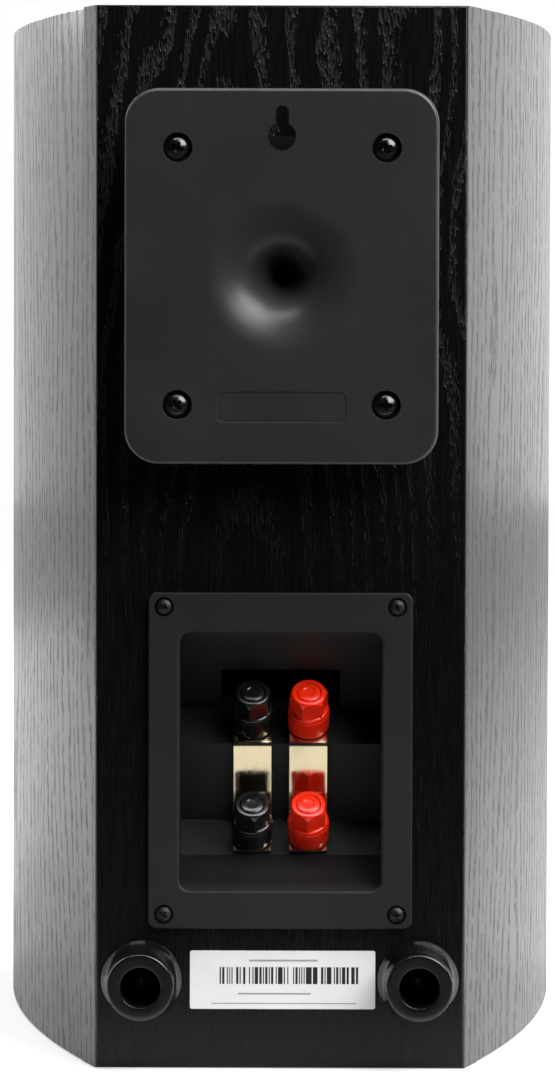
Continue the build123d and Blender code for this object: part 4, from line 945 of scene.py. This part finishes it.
def make_tweeter():
    place = at(0, FRONT_Y, TWEETER_Z, FRONT)
    seat, base, dome_body = -4.0, -3.9, "tweeter_diaphragm"
    face = [(16.6, -3.4), (16.6, -2.7)] + arc((16.6, -2.7), (25, -1.1), (35, 0), 20)
    face += [(36.5, 0), (51.2, 0)] + arc((51.2, 0), (51.77, -0.23), (TWEETER_R, -0.8), 5)
    face += [(TWEETER_R, seat), (20, seat), (20, -3.4), (16.6, -3.4)]
    plate = lathe("tweeter_face", face, 160)
    for i in range(4):
        turn = math.radians(45 + 90 * i)
        x, y = TWEETER_SCREW_R * cos(turn), TWEETER_SCREW_R * sin(turn)
        boolean(plate, prism("well", circle(x, y, 4.0, 48), -0.9, 5))
    ready(plate, place, "cabinet", FACEPLATE, ["tweeter_faceplate"], weighted=True)
    skin = dome(12.7, base, base + 5.2, 16) + dome(12.35, base, base + 4.85, 16)[::-1]
    skin = lathe("tweeter_dome_skin", skin + [(12.7, base)], 96)
    ready(skin, place, dome_body, DOME, ["tweeter_dome"])
    top = base + 0.4
    ring = [(12.8, base), (13.3, base)] + arc((13.3, base), (14.5, base + 1.0), (15.7, base), 8)
    ring += [(19.8, base), (19.8, top), (16.1, top)]
    ring += arc((16.1, top), (14.5, base + 1.45), (12.8, top), 8) + [(12.8, base)]
    bending_ring("tweeter_roll", ring, place, DOME, "tweeter_surround", dome_body,
                 13.0, 16.2, TWEETER_Z)


# ---- grille ------------------------------


def make_grille():
    """Plastic frame on four pegs, with knitted cloth stretched over its front and edges."""
    place = at(0, FRONT_Y, HEIGHT / 2, FRONT)
    edge = rounded(GRILLE_WIDTH, GRILLE_HEIGHT, GRILLE_CORNER, 14)
    bars = prism("grille_bars", edge, 1, 13.2, 2.5, 0.5, 5)
    for low, high in ((18, 212), (224, 362)):
        window = prism("window", rounded(GRILLE_WIDTH - 30, high - low, 5, 8), -5, 20)
        boolean(bars, window, where=shift((0, (low + high) / 2 - HEIGHT / 2, 0)))
    for x, z in PEGS:
        peg = lathe("peg", [(0, -9), (3, -9), (4, -8), (4, 1.2), (0, 1.2), (0, -9)], 40)
        boolean(bars, peg, "UNION", shift((x, z - HEIGHT / 2, 0)))
    ready(bars, place, "grille", FRAME_PLASTIC, ["grille_frame"], weighted=True)

    bm = bmesh.new()
    levels = [(0.25, 3.5), (0.3, 8.0), (0.3, 10.6)]
    levels += [(0.3 - 3.0 * (1 - cos(t)), 11.0 + 2.9 * sin(t))
               for t in (pi / 2 * i / 6 for i in range(1, 7))]
    rings = []
    for grow, height in levels:
        outline = rounded(GRILLE_WIDTH + 2 * grow, GRILLE_HEIGHT + 2 * grow,
                          GRILLE_CORNER + min(grow, 0), 14)
        rings.append([bm.verts.new((x, y, height)) for x, y in outline])
    bridge(bm, rings)
    bm.faces.new(rings[-1])
    knit = new_object("grille_knit_sheet", bm)
    ready(knit, place, "grille", GRILLE, ["grille_cloth"], 60)


# ---- lining ------------------------------


def quads(bm, first, second):
    """Faces between two open rows of vertices."""
    for i in range(len(first) - 1):
        bm.faces.new((first[i], first[i + 1], second[i + 1], second[i]))


def make_lining():
    """Fibre batts on the side walls and under the lid, softly crowned between their edges."""
    bm = bmesh.new()
    front_y, rear_y = INNER_FRONT_Y + 8, INNER_REAR_Y - 8
    rows, crown = 12, 3.5
    for side in (-1, 1):
        for low, high in ((82, 206), (232, 344)):
            skins = []
            for inward, pulled in ((SIDE_WALL + 0.5, 0.0), (SIDE_WALL + 12.5, crown)):
                line = side_line(front_y, rear_y, inward, side, 24)
                grid = []
                for k in range(rows + 1):
                    z = low + (high - low) * k / rows
                    row = []
                    for i, (x, y) in enumerate(line):
                        edge = min(i, len(line) - 1 - i, 2 * k, 2 * (rows - k)) / 4
                        pull = side * pulled * max(0.0, 1 - edge)
                        row.append(bm.verts.new((x + pull, y, z)))
                    grid.append(row)
                skins.append(grid)
            for grid in skins:
                for a, b in zip(grid, grid[1:]):
                    quads(bm, a, b)
            near, far = skins
            for column in (0, -1):
                quads(bm, [row[column] for row in near], [row[column] for row in far])
            for row in (0, -1):
                quads(bm, near[row], far[row])
    lid = plan(front_y, rear_y, SIDE_WALL + 0.5, 24)
    top = [bm.verts.new((x, y, HEIGHT - PANEL - 0.5)) for x, y in lid]
    low = [bm.verts.new((x * 0.985, y, HEIGHT - PANEL - 12)) for x, y in lid]
    bm.faces.new(top)
    bm.faces.new(low[::-1])
    bridge(bm, [top, low])
    batts = new_object("lining_batts", bm)
    ready(batts, HERE, "cabinet", FELT, ["acoustic_lining"], 70)


# ---- assembly ----------------------------

make_cabinet()
make_baffle()
make_port()
make_posts()
make_straps()
bumper_screws = make_bumpers()
make_woofer()
make_tweeter()
make_grille()
make_lining()

cup_place = at(0, REAR_Y + 3.0, CUP_Z, REAR)
cup_places = [cup_place @ shift((sx * CUP_SCREW_X, sy * CUP_SCREW_Y, -1.4))
              for sx, sy in SIGNS]
make_screws("cup_screws", "terminal_cup_screws", (3.2, 1.7, 1.6, 16.0), cup_places, SCREW_DULL)
board_places = [at(sx * 54, 42 + sy * 42, 27.6) for sx, sy in SIGNS]
make_screws("spacer_screw_set", "spacer_screws", (4.3, 2.4, 1.75, 17.0),
            bumper_screws + board_places, SCREW_DULL)
driver_places = [
    at(0, FRONT_Y, z, FRONT) @ Matrix.Rotation(math.radians(first + 360 / count * i), 4, "Z")
    @ shift((radius, 0, level))
    for z, count, first, radius, level in ((WOOFER_Z, 8, 22.5, WOOFER_SCREW_R, -1.0),
                                           (TWEETER_Z, 4, 45, TWEETER_SCREW_R, -0.9))
    for i in range(count)]
make_screws("driver_screw_set", "driver_screws", (3.6, 2.0, 1.9, 18.0), driver_places)

CAD_LOOKS = {
    "terminal_cup": CUP, "terminal_cup_gasket": FOAM, "terminal_studs": GILT,
    "stud_nuts_and_tags": NICKEL, "driver_terminals": NICKEL, "window_brace": FIBREBOARD,
    "rating_label": label_look(), "crossover_board": BOARD, "crossover_inductors": COPPER,
    "crossover_capacitors": WRAP, "crossover_resistors": CERAMIC, "positive_leads": RED_WIRE,
    "negative_leads": BLACK_WIRE, "woofer_basket": BASKET, "woofer_top_plate": STEEL,
    "woofer_magnet": FERRITE, "woofer_yoke": STEEL, "woofer_voice_coil": COPPER,
    "tweeter_magnet": FERRITE, "tweeter_yoke": STEEL, "tweeter_voice_coil": COPPER,
    "grille_sockets": FOAM,
}
for node, material in CAD_LOOKS.items():
    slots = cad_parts[node].data.materials
    slots.clear()
    slots.append(material)


# ---- studio ------------------------------


def make_floor():
    """Floor that the camera sees as white.

    For reflections it is pale only up to just behind the rear panel and dark beyond, so that
    the panel mirrors a dark room.
    """
    bm = bmesh.new()
    bmesh.ops.create_grid(bm, x_segments=1, y_segments=1, size=1.0)
    spread = shift((0, -2.3, 0)) @ Matrix.Diagonal((5, 3, 1, 1))
    bmesh.ops.transform(bm, verts=bm.verts, matrix=spread)
    floor = new_object("floor", bm)
    floor.location.z = -0.0003
    look = Look("pale_floor", Roughness=0.8)
    seen = look.add("LightPath").outputs["Is Camera Ray"]
    ahead = look.ramp(look.split(look.place)[1], 0.27, 0.32, 1.0, 0.0)
    pale = look.math("MAXIMUM", seen, ahead)
    look.to("Base Color", look.mix(pale, (0.04, 0.04, 0.04), (0.7, 0.7, 0.7)))
    look.to("Emission Color", (1, 1, 1, 1))
    look.to("Emission Strength", look.plus(look.times(seen, 0.5), look.times(ahead, 0.02)))
    floor.data.materials.append(look.material)


def make_world():
    """Studio that the camera sees as white, and reflections see dark behind the camera."""
    world = bpy.data.worlds.new("studio")
    SCENE.world = world
    world.use_nodes = True
    graph = Graph(world.node_tree)
    back = graph.tree.nodes["Background"]
    x, y, _ = graph.split(graph.add("TexCoord").outputs["Generated"])
    dark = graph.ramp(y, -0.05, 0.38, 1.0, 0.012)
    uneven = graph.ramp(x, -0.2, 0.8, 1.1, 0.55, "LINEAR")
    seen = graph.add("LightPath").outputs["Is Camera Ray"]
    graph.put(back.inputs["Strength"], graph.math("MAXIMUM", graph.times(dark, uneven), seen))
    back.inputs["Color"].default_value = (1, 1, 1, 1)


def add_light(name, place, target, size, power):
    data = bpy.data.lights.new(name, "AREA")
    data.shape, data.size, data.size_y, data.energy = "RECTANGLE", size[0], size[1], power
    light = bpy.data.objects.new(name, data)
    aim = Vector(target) - Vector(place)
    light.rotation_euler = aim.to_track_quat("-Z", "Y").to_euler()
    light.location = place
    light.visible_camera = False
    SCENE.collection.objects.link(light)


def add_camera():
    data = bpy.data.cameras.new("camera")
    data.lens, data.sensor_width = 186.83, 36.0
    camera = bpy.data.objects.new("camera", data)
    pitch, yaw, roll = math.radians(2.503), math.radians(0.031), math.radians(0.16)
    right = Vector((-1, 0, 0))
    back = Vector((0, cos(pitch), sin(pitch)))
    basis = Matrix((right, back.cross(right), back)).transposed()
    turn = Matrix.Rotation(yaw, 3, "Z") @ basis @ Matrix.Rotation(roll, 3, "Z")
    camera.matrix_world = shift((0, 2.153, 0.277)) @ turn.to_4x4()
    SCENE.collection.objects.link(camera)
    SCENE.camera = camera


make_floor()
make_world()
add_light("key", (-1.15, 1.35, 1.55), (0, 0.15, 0.25), (1.5, 1.5), 62.0)
add_light("top", (0.0, 0.75, 1.9), (0, 0.1, 0.3), (1.4, 0.35), 12.0)
add_light("front_fill", (0.9, -1.9, 1.2), (0, -0.1, 0.2), (1.2, 1.2), 18.0)
add_camera()
SCENE.view_settings.view_transform = "Standard"
